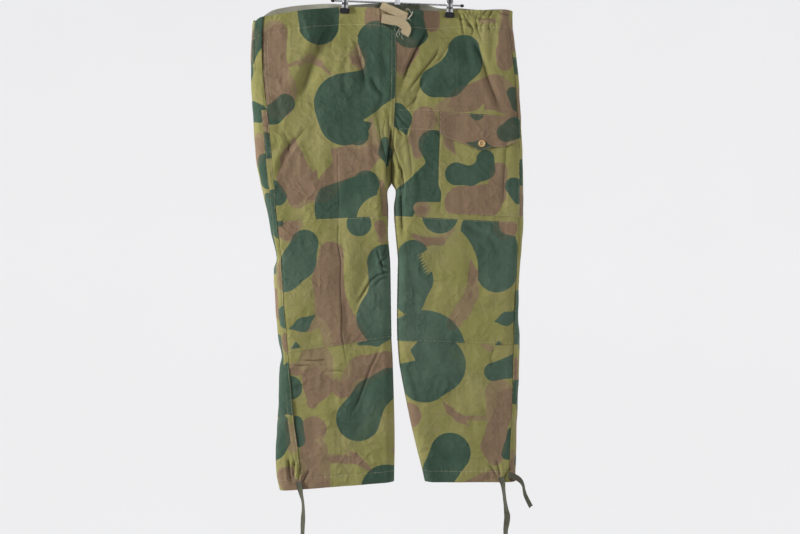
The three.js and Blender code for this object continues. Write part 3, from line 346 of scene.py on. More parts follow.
# Each motif is a soft chain of (x, drop, radius) rounds. Green is printed over brown, on
# the olive ground.
PRINTS = {
    "front_right": {
        "green": [
            [(-182, 118, 47), (-181, 148, 44)], [(-54, 178, 40), (-24, 170, 26)],
            bitten([(-54, 178, 40), (-28, 238, 44), (-44, 284, 46), (-118, 330, 72),
              (-122, 362, 58)], [(-80, 364, 1), (-20, 352, 26), (30, 330, 40)]),
            [(-92, 396, 24), (-112, 380, 40)],
            [(-308, 353, 20), (-282, 350, 21), (-256, 326, 22)],
            bitten([(-112, 560, 78), (-74, 506, 30)], [(-36, 590, 60)]),
            bitten([(-282, 512, 14), (-272, 535, 20)], [(-268, 572, 16)]),
            [(-32, 411, 10), (-31, 436, 14), (-25, 464, 4)],
            [(-92, 1035, 50), (-65, 985, 38), (-22, 954, 34)],
            bitten([(-245, 965, 27)], [(-222, 1000, 15)]), [(-232, 1044, 16), (-226, 1084, 15)],
            [(-30, 1194, 56)], [(-92, 866, 3), (-50, 862, 8), (-14, 852, 2)]],
        "brown": [
            [(-281, 168, 30), (-280, 228, 25), (-268, 296, 37), (-272, 330, 33)],
            [(-259, 243, 3), (-223, 234, 5), (-198, 223, 8), (-180, 234, 6), (-153, 261, 2)],
            [(-94, 191, 3), (-92, 222, 19), (-76, 256, 3)],
            [(-60, 120, 18), (-59, 138, 17), (-40, 132, 20)],
            [(-236, 402, 2), (-240, 450, 26), (-232, 498, 42), (-228, 540, 22)],
            bitten([(-222, 520, 32), (-172, 514, 32), (-142, 464, 36), (-92, 450, 36),
              (-60, 430, 26)], [(-181, 494, 2), (-170, 452, 18), (-184, 402, 28)]),
            [(-63, 362, 5), (-58, 400, 9), (-50, 446, 6)],
            [(-22, 600, 14), (-26, 560, 9), (-40, 500, 4)],
            [(-187, 905, 38), (-182, 958, 34), (-196, 1000, 12)], [(-232, 922, 16)],
            bitten([(-126, 962, 26), (-84, 926, 32), (-30, 906, 24)], [(-135, 948, 1),
              (-133, 906, 17), (-134, 868, 32)]), [(-193, 1059, 30)],
            [(-192, 1106, 31), (-191, 1150, 34), (-189, 1190, 34)],
            [(-164, 1125, 11), (-122, 1125, 9), (-94, 1128, 8), (-74, 1142, 5), (-56, 1156, 1)],
            [(-124, 1104, 1), (-101, 1116, 5), (-88, 1124, 3)], [(-8, 1108, 9)]],
    },
    "front_left": {
        "green": [
            [(38, 122, 18), (26, 158, 42)],
            [(146, 204, 36), (146, 232, 40), (110, 270, 40), (80, 278, 34)],
            [(256, 302, 14), (268, 328, 16)], [(-4, 344, 20), (6, 362, 22), (16, 394, 3)],
            bitten([(76, 418, 33), (94, 462, 27), (74, 506, 42), (22, 542, 34), (2, 574, 22)],
              [(45, 560, 13), (110, 560, 13)], [(45, 582, 14), (110, 582, 14)]),
            bitten([(83, 914, 67), (58, 936, 62)], [(-4, 884, 36), (34, 902, 2)]),
            [(212, 929, 21), (245, 920, 22), (262, 898, 12)],
            [(253, 1064, 9), (250, 1098, 13), (243, 1114, 13)],
            [(115, 1112, 46), (92, 1154, 38), (80, 1186, 28)]],
        "brown": [
            [(8, 208, 38), (6, 250, 12)], [(72, 124, 20), (74, 144, 18)],
            [(248, 108, 20), (245, 170, 19), (240, 212, 21), (238, 234, 18)],
            [(184, 140, 5), (214, 139, 6)],
            bitten([(92, 336, 12), (146, 316, 28), (214, 300, 38), (262, 326, 32)],
              [(178, 352, 11), (191, 326, 1)]), [(58, 362, 30), (36, 406, 14), (42, 440, 11)],
            [(50, 562, 20)],
            [(225, 977, 32), (227, 1015, 29), (220, 1060, 22), (212, 1096, 27),
              (216, 1122, 18)], [(20, 1028, 30)],
            [(99, 997, 2), (115, 1017, 7), (135, 1033, 8), (158, 1051, 1)],
            [(142, 1033, 6), (200, 1033, 6)],
            [(146, 1184, 8), (186, 1174, 14), (214, 1164, 16)], [(186, 868, 3), (204, 876, 8)]],
    },
    "knee_right": {
        "green": [
            [(-212, 640, 31), (-226, 682, 38), (-254, 718, 30), (-268, 744, 10)],
            [(-268, 594, 8)], [(-32, 682, 40), (-30, 742, 36), (-34, 806, 60), (-20, 846, 50)],
            [(-248, 832, 1), (-217, 823, 15), (-190, 802, 2)],
            bitten([(-90, 596, 28)], [(-136, 600, 18)])],
        "brown": [
            [(-153, 664, 29), (-160, 722, 34), (-151, 790, 38), (-120, 860, 50)],
            [(-182, 818, 13), (-206, 838, 2)], [(-248, 612, 25), (-232, 596, 15)],
            [(-43, 600, 13), (-38, 632, 9)]],
    },
    "knee_left": {
        "green": [
            [(32, 666, 34), (37, 722, 38), (25, 768, 32)], [(56, 884, 94)], [(92, 578, 40)],
            bitten([(196, 614, 58), (222, 682, 54), (220, 704, 46)], [(57, 702, 121)],
              [(250, 596, 26), (270, 606, 20)]),
            [(214, 816, 1), (240, 810, 14), (262, 802, 11)]],
        "brown": [
            [(126, 606, 2), (94, 634, 9), (60, 636, 9), (32, 622, 5)],
            [(160, 674, 1), (168, 712, 11), (163, 756, 15), (142, 792, 17), (122, 820, 16)],
            [(238, 604, 27)]],
    },
    "pocket": {
        "green": [
            bitten([(194, 450, 20), (192, 474, 22), (160, 489, 20), (129, 484, 26)],
              [(153, 516, 6)]), [(257, 512, 20), (266, 542, 10)]],
        "brown": [
            [(110, 412, 13), (127, 440, 1)], [(140, 549, 38), (194, 545, 38)],
            [(224, 478, 20), (219, 532, 22)]],
    },
    "flap": {
        "green": [
            [(175, 348, 16)], [(150, 415, 1), (184, 422, 12), (212, 425, 1)],
            [(240, 392, 21), (262, 380, 25)]],
        "brown": [
            [(92, 372, 48), (180, 378, 60), (214, 392, 52)], [(232, 352, 14), (262, 352, 6)]],
    },
    # On the backs the first place is the run round the side, from the side edge: what
    # is below nought lies on the front, beside the side seam.
    "back_right": {
        "green": [
            [(-34, 130, 17), (-30, 190, 14), (-20, 232, 5)], [(4, 250, 26)],
            [(-34, 348, 21), (-12, 342, 24)], [(-40, 462, 24), (-30, 500, 18)],
            [(-26, 540, 14), (-14, 610, 18), (-8, 690, 20)],
            [(-10, 860, 16), (-14, 940, 20), (-16, 1010, 24)],
            [(-30, 1060, 30), (-6, 1096, 34)], [(40, 170, 34), (76, 206, 40), (118, 204, 28)],
            [(208, 150, 44), (214, 186, 40)], [(296, 240, 46), (276, 300, 52), (240, 342, 34)],
            [(322, 112, 22), (306, 106, 18)],
            bitten([(86, 330, 54), (58, 386, 36)], [(124, 296, 26)]),
            [(170, 440, 52), (214, 474, 40)], [(62, 520, 30), (84, 566, 38), (72, 612, 22)],
            bitten([(246, 590, 44), (212, 636, 52), (214, 690, 36)], [(176, 596, 22)]),
            [(92, 724, 46), (124, 758, 30)], [(258, 812, 2), (222, 836, 18), (190, 842, 2)],
            [(78, 880, 36), (104, 934, 46), (150, 952, 24)], [(238, 944, 38), (228, 1002, 44)],
            [(128, 1084, 44), (160, 1116, 32)], [(40, 1150, 26)], [(246, 1150, 34)]],
        "brown": [
            [(-20, 170, 16), (-14, 226, 12)], [(-28, 410, 20), (-16, 450, 16)],
            [(-12, 760, 20), (-20, 800, 12)], [(-48, 1046, 16), (-50, 1100, 10)],
            [(-40, 1172, 30)], [(150, 130, 22), (152, 250, 26), (166, 330, 34)],
            [(34, 266, 34), (20, 318, 20)], [(268, 400, 40), (296, 462, 34)],
            bitten([(96, 446, 44), (60, 470, 22)], [(120, 500, 22)]),
            [(150, 540, 26), (158, 620, 32), (150, 690, 40)], [(214, 742, 44), (252, 764, 26)],
            [(40, 700, 24), (52, 790, 32), (110, 816, 26)],
            [(176, 880, 36), (190, 1000, 24), (182, 1060, 32)],
            [(60, 1010, 34), (70, 1080, 22)], [(196, 1160, 38)],
            [(98, 640, 2), (118, 660, 7), (150, 664, 3)]],
    },
    "back_left": {
        "green": [
            [(-12, 250, 12)], [(-10, 520, 14), (-8, 560, 16)], [(-8, 800, 16), (-6, 860, 20)],
            [(-8, 960, 14), (-6, 1000, 16)], [(-4, 1130, 14)], [(60, 150, 40), (84, 192, 34)],
            [(214, 166, 48), (176, 214, 44), (160, 262, 28)], [(262, 110, 28), (236, 104, 14)],
            bitten([(44, 312, 44), (78, 354, 50)], [(110, 310, 24)]),
            [(226, 356, 50), (198, 410, 36)], [(110, 470, 50), (74, 508, 34)],
            [(224, 540, 36), (196, 588, 46), (160, 604, 24)], [(56, 640, 38), (66, 700, 46)],
            bitten([(196, 742, 52), (152, 780, 36)], [(226, 806, 26)]),
            [(70, 860, 2), (104, 872, 18), (138, 862, 2)], [(176, 936, 46), (148, 990, 38)],
            [(46, 980, 34), (60, 1040, 42)], [(166, 1118, 44), (142, 1154, 32)]],
        "brown": [
            [(-8, 150, 14), (-8, 206, 14)], [(-6, 330, 18), (-10, 400, 12)],
            [(-8, 650, 16), (-6, 720, 18)], [(-8, 1040, 16), (-8, 1082, 12)], [(-6, 1172, 22)],
            [(136, 128, 22), (128, 200, 30), (104, 262, 34)], [(262, 250, 34), (244, 300, 26)],
            [(146, 340, 30), (150, 420, 36)], [(36, 420, 30), (30, 470, 38)],
            [(120, 560, 30), (132, 640, 34), (124, 700, 26)], [(232, 640, 34), (244, 690, 22)],
            [(74, 780, 38), (44, 810, 24)], [(212, 860, 40), (230, 900, 26)],
            [(96, 930, 30), (100, 1010, 26), (104, 1090, 32)],
            bitten([(196, 1040, 36)], [(170, 1066, 18)]), [(84, 1160, 34)],
            [(150, 500, 2), (176, 488, 7), (206, 500, 3)]],
    },
    # The felled strips and tacks are cut from other places of the printed cloth.
    "strip_right": {
        "green": [
            [(-44, 420, 30)], [(-50, 560, 42), (-50, 592, 42)], [(-44, 806, 28)],
            [(-56, 942, 42), (-56, 986, 42)]],
        "brown": [
            [(-46, 372, 30)], [(-50, 690, 30), (-48, 724, 26)], [(-50, 866, 30)],
            [(-60, 1076, 34)]],
    },
    "strip_left": {
        "green": [
            [(-17, 240, 20)], [(-17, 480, 30)], [(-17, 785, 40), (-17, 828, 40)],
            [(-17, 975, 28)]],
        "brown": [
            [(-17, 180, 28)], [(-17, 330, 40)], [(-17, 545, 35)], [(-17, 922, 26)],
            [(-17, 1140, 36)]],
    },
    "tack": {"green": [[(0, 860, 300)]], "brown": []},
}
# A dry-brush stroke of olive over the green of the left knee, with a toothed end: the
# place of its outer corner, its two directions, its size and how long the teeth are.
BRUSH_STROKE = {"corner": (38, 670), "along": (0.40, 0.917), "inward": (0.83, -0.56),
                "length": 48, "depth": 34, "teeth": 7, "tooth": 15}
# Where a nearly dry brush has left thin streaks of green.
DRY_BRUSHED = {
    "front_right": [
        [(-52, 348, 12), (-34, 400, 12)], [(-34, 1000, 8), (-96, 1090, 14)]],
    "front_left": [
        [(34, 400, 10), (20, 480, 8)], [(120, 884, 10), (190, 950, 12)]],
    "knee_right": [
        [(-92, 640, 12), (-104, 720, 14), (-96, 780, 10)]],
    "knee_left": [
        [(62, 692, 10), (92, 652, 14), (120, 626, 8)], [(178, 790, 8), (236, 772, 10)]],
    "pocket": [
        [(236, 470, 6), (222, 540, 8)]],
    "back_right": [
        [(120, 520, 14), (160, 700, 16)], [(230, 900, 14)]],
    "back_left": [
        [(96, 520, 14), (180, 680, 16)], [(60, 900, 14)]],
}
SOFT_JOIN = 9
FAR = 60


def soft_least(a, b, width):
    """The lesser of two distances, rounded where they meet."""
    mix = np.clip(0.5 + 0.5 * (b - a) / width, 0, 1)
    return b + (a - b) * mix - width * mix * (1 - mix)


def lengths_along(places):
    """How far each place lies along the line through them."""
    steps = np.linalg.norm(np.diff(places, axis=0), axis=1)
    return np.concatenate([[0], np.cumsum(steps)])


def runs_of(places):
    """The straight runs of a line, each with the shares of the line at its ends."""
    places = np.array(places, float)
    ends = lengths_along(places)
    ends = ends / ends[-1]
    return zip(places, places[1:], ends, ends[1:])


def beside(a, b, x, drop):
    """Places beside a straight run: the share along it, how far away and on which side."""
    run = np.subtract(b, a, dtype=float)
    t = np.clip(((x - a[0]) * run[0] + (drop - a[1]) * run[1]) / run.dot(run), 0, 1)
    away = np.hypot(x - a[0] - t * run[0], drop - a[1] - t * run[1])
    return t, away, (x - a[0]) * run[1] - (drop - a[1]) * run[0]


def chain_distance(chain, x, drop):
    """Distance in mm to a soft chain of rounds, below nought inside it."""
    if len(chain) == 1:
        x0, drop0, radius = chain[0]
        return np.hypot(x - x0, drop - drop0) - radius
    total = None
    for first, last in zip(chain, chain[1:]):
        t, away, _ = beside(first[:2], last[:2], x, drop)
        piece = away - (first[2] + t * (last[2] - first[2]))
        total = piece if total is None else soft_least(total, piece, SOFT_JOIN)
    return total


def print_distance(motifs, x, drop):
    """Distance in mm to the nearest edge of one printed colour."""
    nearest = np.full(np.shape(x), float(FAR))
    for motif in motifs:
        chain, bites = motif if isinstance(motif, tuple) else (motif, ())
        here = chain_distance(chain, x, drop)
        for bite in bites:
            here = np.maximum(here, -chain_distance(bite, x, drop))
        nearest = np.minimum(nearest, here)
    return nearest


# ------------------------------------------------------------------ the form of the cloth
def smooth(value, start, end):
    t = np.clip((np.asarray(value, float) - start) / (end - start), 0, 1)
    return t * t * (3 - 2 * t)


def curve(keys, values):
    """A smooth reading of a table column: cubic, with slopes from the neighbours."""
    slopes = np.gradient(values, keys)
    slopes[1:-1] = (values[2:] - values[:-2]) / (keys[2:] - keys[:-2])

    def read(at):
        at = np.clip(at, keys[0], keys[-1])
        i = np.clip(np.searchsorted(keys, at) - 1, 0, len(keys) - 2)
        span = keys[i + 1] - keys[i]
        u = (at - keys[i]) / span
        return (values[i] * (2 * u**3 - 3 * u**2 + 1) + slopes[i] * span * (u**3 - 2 * u**2 + u)
                + values[i + 1] * (3 * u**2 - 2 * u**3) + slopes[i + 1] * span * (u**3 - u**2))
    return read


SECTION = {name: curve(SECTIONS[:, 0], SECTIONS[:, i])
           for i, name in enumerate(SECTION_COLUMNS) if i}
WAIST_FRONT = curve(WAIST_EDGE[:, 0], WAIST_EDGE[:, 1])
WAIST_BACK = curve(WAIST_EDGE[:, 0], WAIST_EDGE[:, 2])

# The waist edge's sag has run out by this level, and the inseam is drawn in between these.
SAG_END = 320
INSEAM_DRAWN = (385, CROTCH - 14)
ROD_DROP = 95
CLIP_SPREAD = 237.6
CLIP_HALF_GRIP = 3.5
HANGER_TILT = math.radians(2.3)
CLIP_X = [side * 0.5 * CLIP_SPREAD * math.cos(HANGER_TILT) - ROD_DROP * math.sin(HANGER_TILT)
          for side in (-1, 1)]
PINCH = {"beside": (20, 85), "below": (136, 250)}


def pinch(x, drop):
    """How far the clips draw the front and back together, from 0 to 1."""
    along = [1 - smooth(np.abs(x - clip), *PINCH["beside"]) for clip in CLIP_X]
    return np.maximum(*along) * (1 - smooth(drop, *PINCH["below"]))


def fold_rise(folds, x, drop):
    rise = np.zeros(np.shape(x))
    for x0, drop0, x1, drop1, width, height in folds:
        run = np.array((x1 - x0, drop1 - drop0), float)
        length = np.hypot(*run)
        along = ((x - x0) * run[0] + (drop - drop0) * run[1]) / length**2
        across = ((x - x0) * run[1] - (drop - drop0) * run[0]) / length
        ends = smooth(along, -0.15, 0.2) * (1 - smooth(along, 0.8, 1.15))
        rise += height * ends * np.exp(-(across / (0.5 * width))**2)
    return rise


class LegLines:
    """One leg's section at level lines of the cloth."""

    def __init__(self, leg, level):
        self.side = -1 if leg == "right" else 1
        self.slant = SECTION[f"slant_{leg}"](level)
        self.inner = SECTION[f"inner_{leg}"](level)
        self.outer = SECTION[f"outer_{leg}"](level + self.slant)
        self.half_depth = 0.5 * SECTION["depth"](level)
        self.width = np.abs(self.outer - self.inner)
        self.round_run = 0.5 * math.pi * np.hypot(SIDE_ROUND, self.half_depth) / math.sqrt(2)
        inset = SECTION[f"inset_{leg}"](level + self.slant)
        turned = np.arccos(np.clip(1 - inset / SIDE_ROUND, -1, 1)) / (0.5 * math.pi)
        self.seam = self.round_run + np.where(inset < SIDE_ROUND, self.round_run * (turned - 1),
                                              inset - SIDE_ROUND)
        self.end = self.round_run + self.width - SIDE_ROUND


def form(leg, run, level):
    """The smooth cloth, at a run round the leg from its side edge: front below nought."""
    line = LegLines(leg, level)
    angle = 0.5 * math.pi * np.minimum(np.abs(run) / line.round_run, 1)
    from_side = SIDE_ROUND * (1 - np.cos(angle)) + np.maximum(np.abs(run) - line.round_run, 0)
    x = line.outer - line.side * from_side
    from_inner = np.maximum(line.width - from_side, 0)
    edge = np.where(run > 0, WAIST_BACK(x), WAIST_FRONT(x))
    drop = (level + line.slant * (1 - from_side / line.width)
            + (edge - WAIST) * (1 - smooth(level, WAIST + CASING, SAG_END)))
    drawn = np.where(level >= CROTCH, 1, 0.9 * smooth(level, *INSEAM_DRAWN))
    inward = 1 - np.minimum(from_inner / INSEAM_ROUND, 1)
    inner_shape = 1 - drawn * (1 - np.maximum(1 - inward**2, 0)**(1 - 0.5 * drawn))
    shape = np.sin(angle) * inner_shape
    held = pinch(x, drop)
    gripped = line.half_depth + (CLIP_HALF_GRIP - line.half_depth) * held
    folds = np.where(run > 0, fold_rise(BACK_FOLDS, x, drop), fold_rise(FRONT_FOLDS, x, drop))
    depth = np.maximum(gripped * shape + folds * (1 - held) * shape**2,
                       0.5 * SEAM_GAP * np.sin(angle))
    return np.stack([x, np.where(run > 0, depth, -depth), -drop], axis=-1)


def half_side_gap(leg, level):
    if leg == "left":
        return 0.5 * SEAM_GAP
    opened = smooth(level, SLIT["top"], SLIT["top"] + SLIT["ease"]) * (
        1 - smooth(level, SLIT["bottom"] - SLIT["ease"], SLIT["bottom"]))
    return 0.5 * (SEAM_GAP + (SLIT["gap"] - SEAM_GAP) * opened)


def run_at(leg, face, t, level):
    """The run round the leg at a share t of a panel's width.

    The front goes from its inner edge to the side seam, and the back from the side seam
    round the side to its inner edge.
    """
    line = LegLines(leg, level)
    gap = half_side_gap(leg, level)
    if face == "front":
        return -(line.end + (line.seam + gap - line.end) * t)
    return -(line.seam - gap) + (line.seam - gap + line.end) * t


def share_at(leg, level, x):
    """The share of the front panel's width at x on a level line."""
    shares = np.linspace(0, 1, 241)
    line = form(leg, run_at(leg, "front", shares, np.full(241, float(level))), level)[:, 0]
    order = np.argsort(line)
    return float(np.interp(x, line[order], shares[order]))


# ------------------------------------------------------------------ creases and puckers
CREASE_DEPTH = 1.5


def crease_rise(creases, x, drop):
    """Narrow valleys with a soft roll on either side, fading at both ends."""
    rise = np.zeros(np.shape(x))
    for places, width, depth in creases:
        nearest = np.full(np.shape(x), np.inf)
        share = np.zeros(np.shape(x))
        for a, b, start, end in runs_of(places):
            t, away, _ = beside(a, b, x, drop)
            closer = away < nearest
            nearest = np.where(closer, away, nearest)
            share = np.where(closer, start + t * (end - start), share)
        fade = smooth(share, 0, 0.22) * (1 - smooth(share, 0.75, 1))
        valley = np.exp(-(nearest / width)**1.35)
        roll = 0.4 * np.exp(-((nearest - 2.1 * width) / (1.2 * width))**2)
        rise += depth * fade * (roll - valley)
    return rise


# The narrow creases are also drawn as fold lines, too fine for the mesh: a bump, and painted
# shade that darkens the colour along them.
LINE_WIDTH = 5.2
FRONT_LINES = ([places for places, width, _ in FRONT_CREASES if width < LINE_WIDTH]
               + [places for places, _ in GATHER_FOLDS])
BACK_LINES = [places for places, width, _ in BACK_CREASES if width < LINE_WIDTH + 1]
LINE_FADE = 7


def fold_line_distance(lines, x, drop):
    """Signed distance to the nearest fold line, carried further off towards its ends."""
    nearest = np.full(np.shape(x), float(FAR))
    for a, b, start, end in (run for places in lines for run in runs_of(places)):
        t, away, across = beside(a, b, x, drop)
        share = start + t * (end - start)
        faded = LINE_FADE * (1 - smooth(share, 0, 0.25) * (1 - smooth(share, 0.7, 1)))
        far = np.sign(across) * (away + faded)
        nearest = np.where(np.abs(far) < np.abs(nearest), far, nearest)
    return nearest


# Slow waves of the hung cloth: wavelength along x, along the drop, phase and height.
WAVES = [
    (118, 610, 0.4, 0.8),
    (73, -420, 2.1, 0.55),
    (47, 330, 4.0, 0.32),
    (29, -190, 1.2, 0.16),
    (260, 84, 5.1, 0.35),
    (-90, 61, 3.3, 0.22),
    (160, 37, 0.9, 0.12),
]


def wave_rise(x, drop):
    return sum(height * np.sin(2 * math.pi * (x / along + drop / down) + phase)
               for along, down, phase, height in WAVES)


def pucker(along, away, reach, height):
    """Small uneven puckers beside a line of stitching."""
    uneven = (np.sin(2 * math.pi * along / 11.3) + 0.7 * np.sin(2 * math.pi * along / 7.1 + 1.3)
              + 0.6 * np.sin(2 * math.pi * along / 17.9 + 4.1))
    return height * uneven * np.exp(-np.abs(away) / reach) - 0.5 * np.exp(-(away / 0.9)**2)


def gather_rise(x, drop):
    """The drawn-up casing beside the wearer's left clip, running out below it."""
    inside = smooth(x, GATHERS["from"], GATHERS["from"] + 12) * (
        1 - smooth(x, GATHERS["to"] - 12, GATHERS["to"] + 10)) * (1 - smooth(drop, 140, 186))
    folds = [(places, GATHERS["width"], GATHERS["depth"] * share)
             for places, share in GATHER_FOLDS]
    clear_of_clip = smooth(np.abs(x - max(CLIP_X)), *GATHERS["clip_reach"])
    puffs = 0.6 * np.sin(x / 4.1 + drop / 9.0) + 0.5 * np.sin(x / 6.7 - drop / 6.1)
    return clear_of_clip * (crease_rise(folds, x, drop)
                            + inside * (GATHERS["swell"] + puffs * GATHERS["swell"]))


def relief(leg, face, level, x, drop, run):
    """How far the real cloth stands off the smooth form."""
    line = LegLines(leg, level)
    if face == "front":
        rise = CREASE_DEPTH * crease_rise(FRONT_CREASES, x, drop)
        inner, side = line.end + run, -run - line.seam
    else:
        on_back = smooth(run, 0, 30)
        rise = CREASE_DEPTH * (crease_rise(FRONT_CREASES, x, drop) * (1 - smooth(run, -20, 0))
                               + crease_rise(BACK_CREASES, x, drop) * on_back)
        inner, side = line.end - run, run + line.seam
    rise = rise + wave_rise(x + 40 * (face == "back"), drop + 90 * (leg == "left"))
    rise = rise + pucker(x, level - (WAIST + CASING), 8, 0.5)
    rise = rise + pucker(x + 31, level - (HEM - HEM_CASING), 7, 0.35)
    rise = rise + pucker(drop, side, 6, 0.35) + pucker(drop + 40, inner - 4, 6, 0.4)
    at_clips = 1 - 0.85 * pinch(x, drop)
    if face == "front" and leg == "left":
        return smooth(inner, 0, 7) * (rise * at_clips + gather_rise(x, drop))
    return smooth(inner, 0, 7) * rise * at_clips


def cloth(leg, face, t, level, lift=0.0):
    """Places and outward directions on the real cloth, lifted by lift in mm."""
    t, level = np.broadcast_arrays(np.asarray(t, float), np.asarray(level, float))
    run = run_at(leg, face, t, level)
    point = form(leg, run, level)
    step = 0.4
    limit = LegLines(leg, level).end
    ahead, behind = (form(leg, np.clip(run + ahead, -limit, limit), level)
                     for ahead in (step, -step))
    low, high = (form(leg, run_at(leg, face, t, level + down), level + down)
                 for down in (step, -step))
    normal = np.cross(low - high, ahead - behind) * (-1 if leg == "right" else 1)
    normal /= np.linalg.norm(normal, axis=-1, keepdims=True) + 1e-12
    x, drop = point[..., 0], -point[..., 2]
    rise = relief(leg, face, level, x, drop, run)
    real = point + normal * (rise + lift)[..., None]
    return {"point": real, "normal": normal, "x": x, "drop": drop, "run": run, "rise": rise,
            "on_front": face == "front"}


# ------------------------------------------------------------------ meshes
def new_object(name, points, faces, materials, face_finish=None, attributes=None, sharp=50):
    """A mesh object from points in mm."""
    mesh = bpy.data.meshes.new(name)
    mesh.from_pydata((np.asarray(points) * MM).tolist(), [], np.asarray(faces).tolist()
                     if isinstance(faces, np.ndarray) else faces)
    for material in materials:
        mesh.materials.append(material)
    if face_finish is not None:
        mesh.polygons.foreach_set("material_index", np.asarray(face_finish, np.int32))
    for key, values in (attributes or {}).items():
        kind = "FLOAT" if values.ndim == 1 else "FLOAT_VECTOR"
        field = "value" if values.ndim == 1 else "vector"
        layer = mesh.attributes.new(key, kind, "POINT")
        layer.data.foreach_set(field, np.ascontiguousarray(values, np.float32).ravel())
    mesh.polygons.foreach_set("use_smooth", np.ones(len(mesh.polygons), bool))
    mesh.set_sharp_from_angle(angle=math.radians(sharp))
    mesh.update()
    piece = bpy.data.objects.new(name, mesh)
    bpy.context.scene.collection.objects.link(piece)
    return piece


def shell(name, outer, inner, flip, materials, attributes):
    """A closed thin wall between two grids of points; the inside takes the second finish."""
    columns, rows = outer.shape[:2]
    count = columns * rows
    index = np.arange(count).reshape(columns, rows)
    a, b = index[:-1, :-1].ravel(), index[:-1, 1:].ravel()
    c, d = index[1:, 1:].ravel(), index[1:, :-1].ravel()
    face = np.stack([a, b, c, d], axis=1)
    reverse = np.stack([a, d, c, b], axis=1) + count
    border = np.concatenate([index[:, 0], index[-1, 1:], index[-2::-1, -1], index[0, -2:0:-1]])
    following = np.roll(border, -1)
    rim = np.stack([border, following, following + count, border + count], axis=1)
    faces = np.concatenate([face, reverse, rim])
    if flip:
        faces = faces[:, ::-1]
    finish = np.concatenate([np.zeros(len(face)), np.ones(len(reverse)), np.zeros(len(rim))])
    points = np.concatenate([outer.reshape(-1, 3), inner.reshape(-1, 3)])
    doubled = {key: np.concatenate([values.reshape(count, -1)] * 2).squeeze()
               for key, values in attributes.items()}
    return new_object(name, points, faces, materials, finish, doubled)


def circle(centre, across, up, radius, around):
    """A ring of places about a centre, in the plane of two directions."""
    return [centre + radius * (across * math.cos(a) + up * math.sin(a))
            for a in np.arange(around) * 2 * math.pi / around]


def ring_walls(rings, around, first, flip):
    """The faces between rings of places, each ring following the one before."""
    faces = []
    for start in range(first, first + (rings - 1) * around, around):
        for k in range(around):
            a, b = start + k, start + (k + 1) % around
            faces.append((a, a + around, b + around, b) if flip
                         else (a, b, b + around, a + around))
    return faces


def tube_faces(rings, around, first=0, flip=False):
    """The walls and both ends of a solid made of rings of places."""
    last = first + (rings - 1) * around
    ends = range(first, first + around), range(last, last + around)
    turns = (1, -1) if flip else (-1, 1)
    return ring_walls(rings, around, first, flip) + [
        tuple(end)[::turn] for end, turn in zip(ends, turns)]


def fine_steps(start, end, pitch, edge=(0.7, 1.5, 2.4, 3.6)):
    """Places from start to end at about a pitch, closer together beside both ends."""
    middle = np.linspace(start + edge[-1], end - edge[-1],
                         max(2, int(round((end - start - 2 * edge[-1]) / pitch)) + 1))
    near = [start, *(start + e for e in edge[:-1])]
    far = [end - e for e in edge[:-1]][::-1] + [end]
    return np.concatenate([near, middle, far])


def with_lines(steps, lines):
    """The same places, with three more, 1 mm apart, at each line of stitching."""
    extra = [line + offset for line in lines for offset in (-1, 0, 1)]
    kept = [s for s in steps if all(abs(s - e) > 0.5 for e in extra)]
    return np.array(sorted(kept + extra))


def print_layers(piece, place):
    """What the printed cloth's paint reads at each place of a piece."""
    on_front = place["on_front"]
    u, v = place["x"] if on_front else place["run"], place["drop"]
    fold = fold_line_distance(FRONT_LINES if on_front else BACK_LINES, place["x"], v)
    layers = {ink: print_distance(motifs, u, v) for ink, motifs in PRINTS[piece].items()}
    return layers | {
        "fold": fold,
        "clear": np.abs(fold),
        "dry": print_distance(DRY_BRUSHED.get(piece, []), u, v),
        "rise": place["rise"],
        "cloth": np.stack([u, v, np.zeros_like(u)], axis=-1),
    }


# ------------------------------------------------------------------ paint
class Value:
    """A socket in one material; arithmetic on it adds Math nodes."""

    def __init__(self, paint, socket):
        self.paint = paint
        self.socket = socket

    def call(self, operation, *others):
        return self.paint.add("ShaderNodeMath", {"operation": operation}, (self, *others))

    def __add__(self, other):
        return self.call("ADD", other)

    def __sub__(self, other):
        return self.call("SUBTRACT", other)

    def __rsub__(self, other):
        return self.paint.add("ShaderNodeMath", {"operation": "SUBTRACT"}, (other, self))

    def __mul__(self, other):
        return self.call("MULTIPLY", other)

    def __truediv__(self, other):
        return self.call("DIVIDE", other)

    __radd__ = __add__
    __rmul__ = __mul__

    def clamped(self):
        return self.paint.add("ShaderNodeClamp", {}, [self])


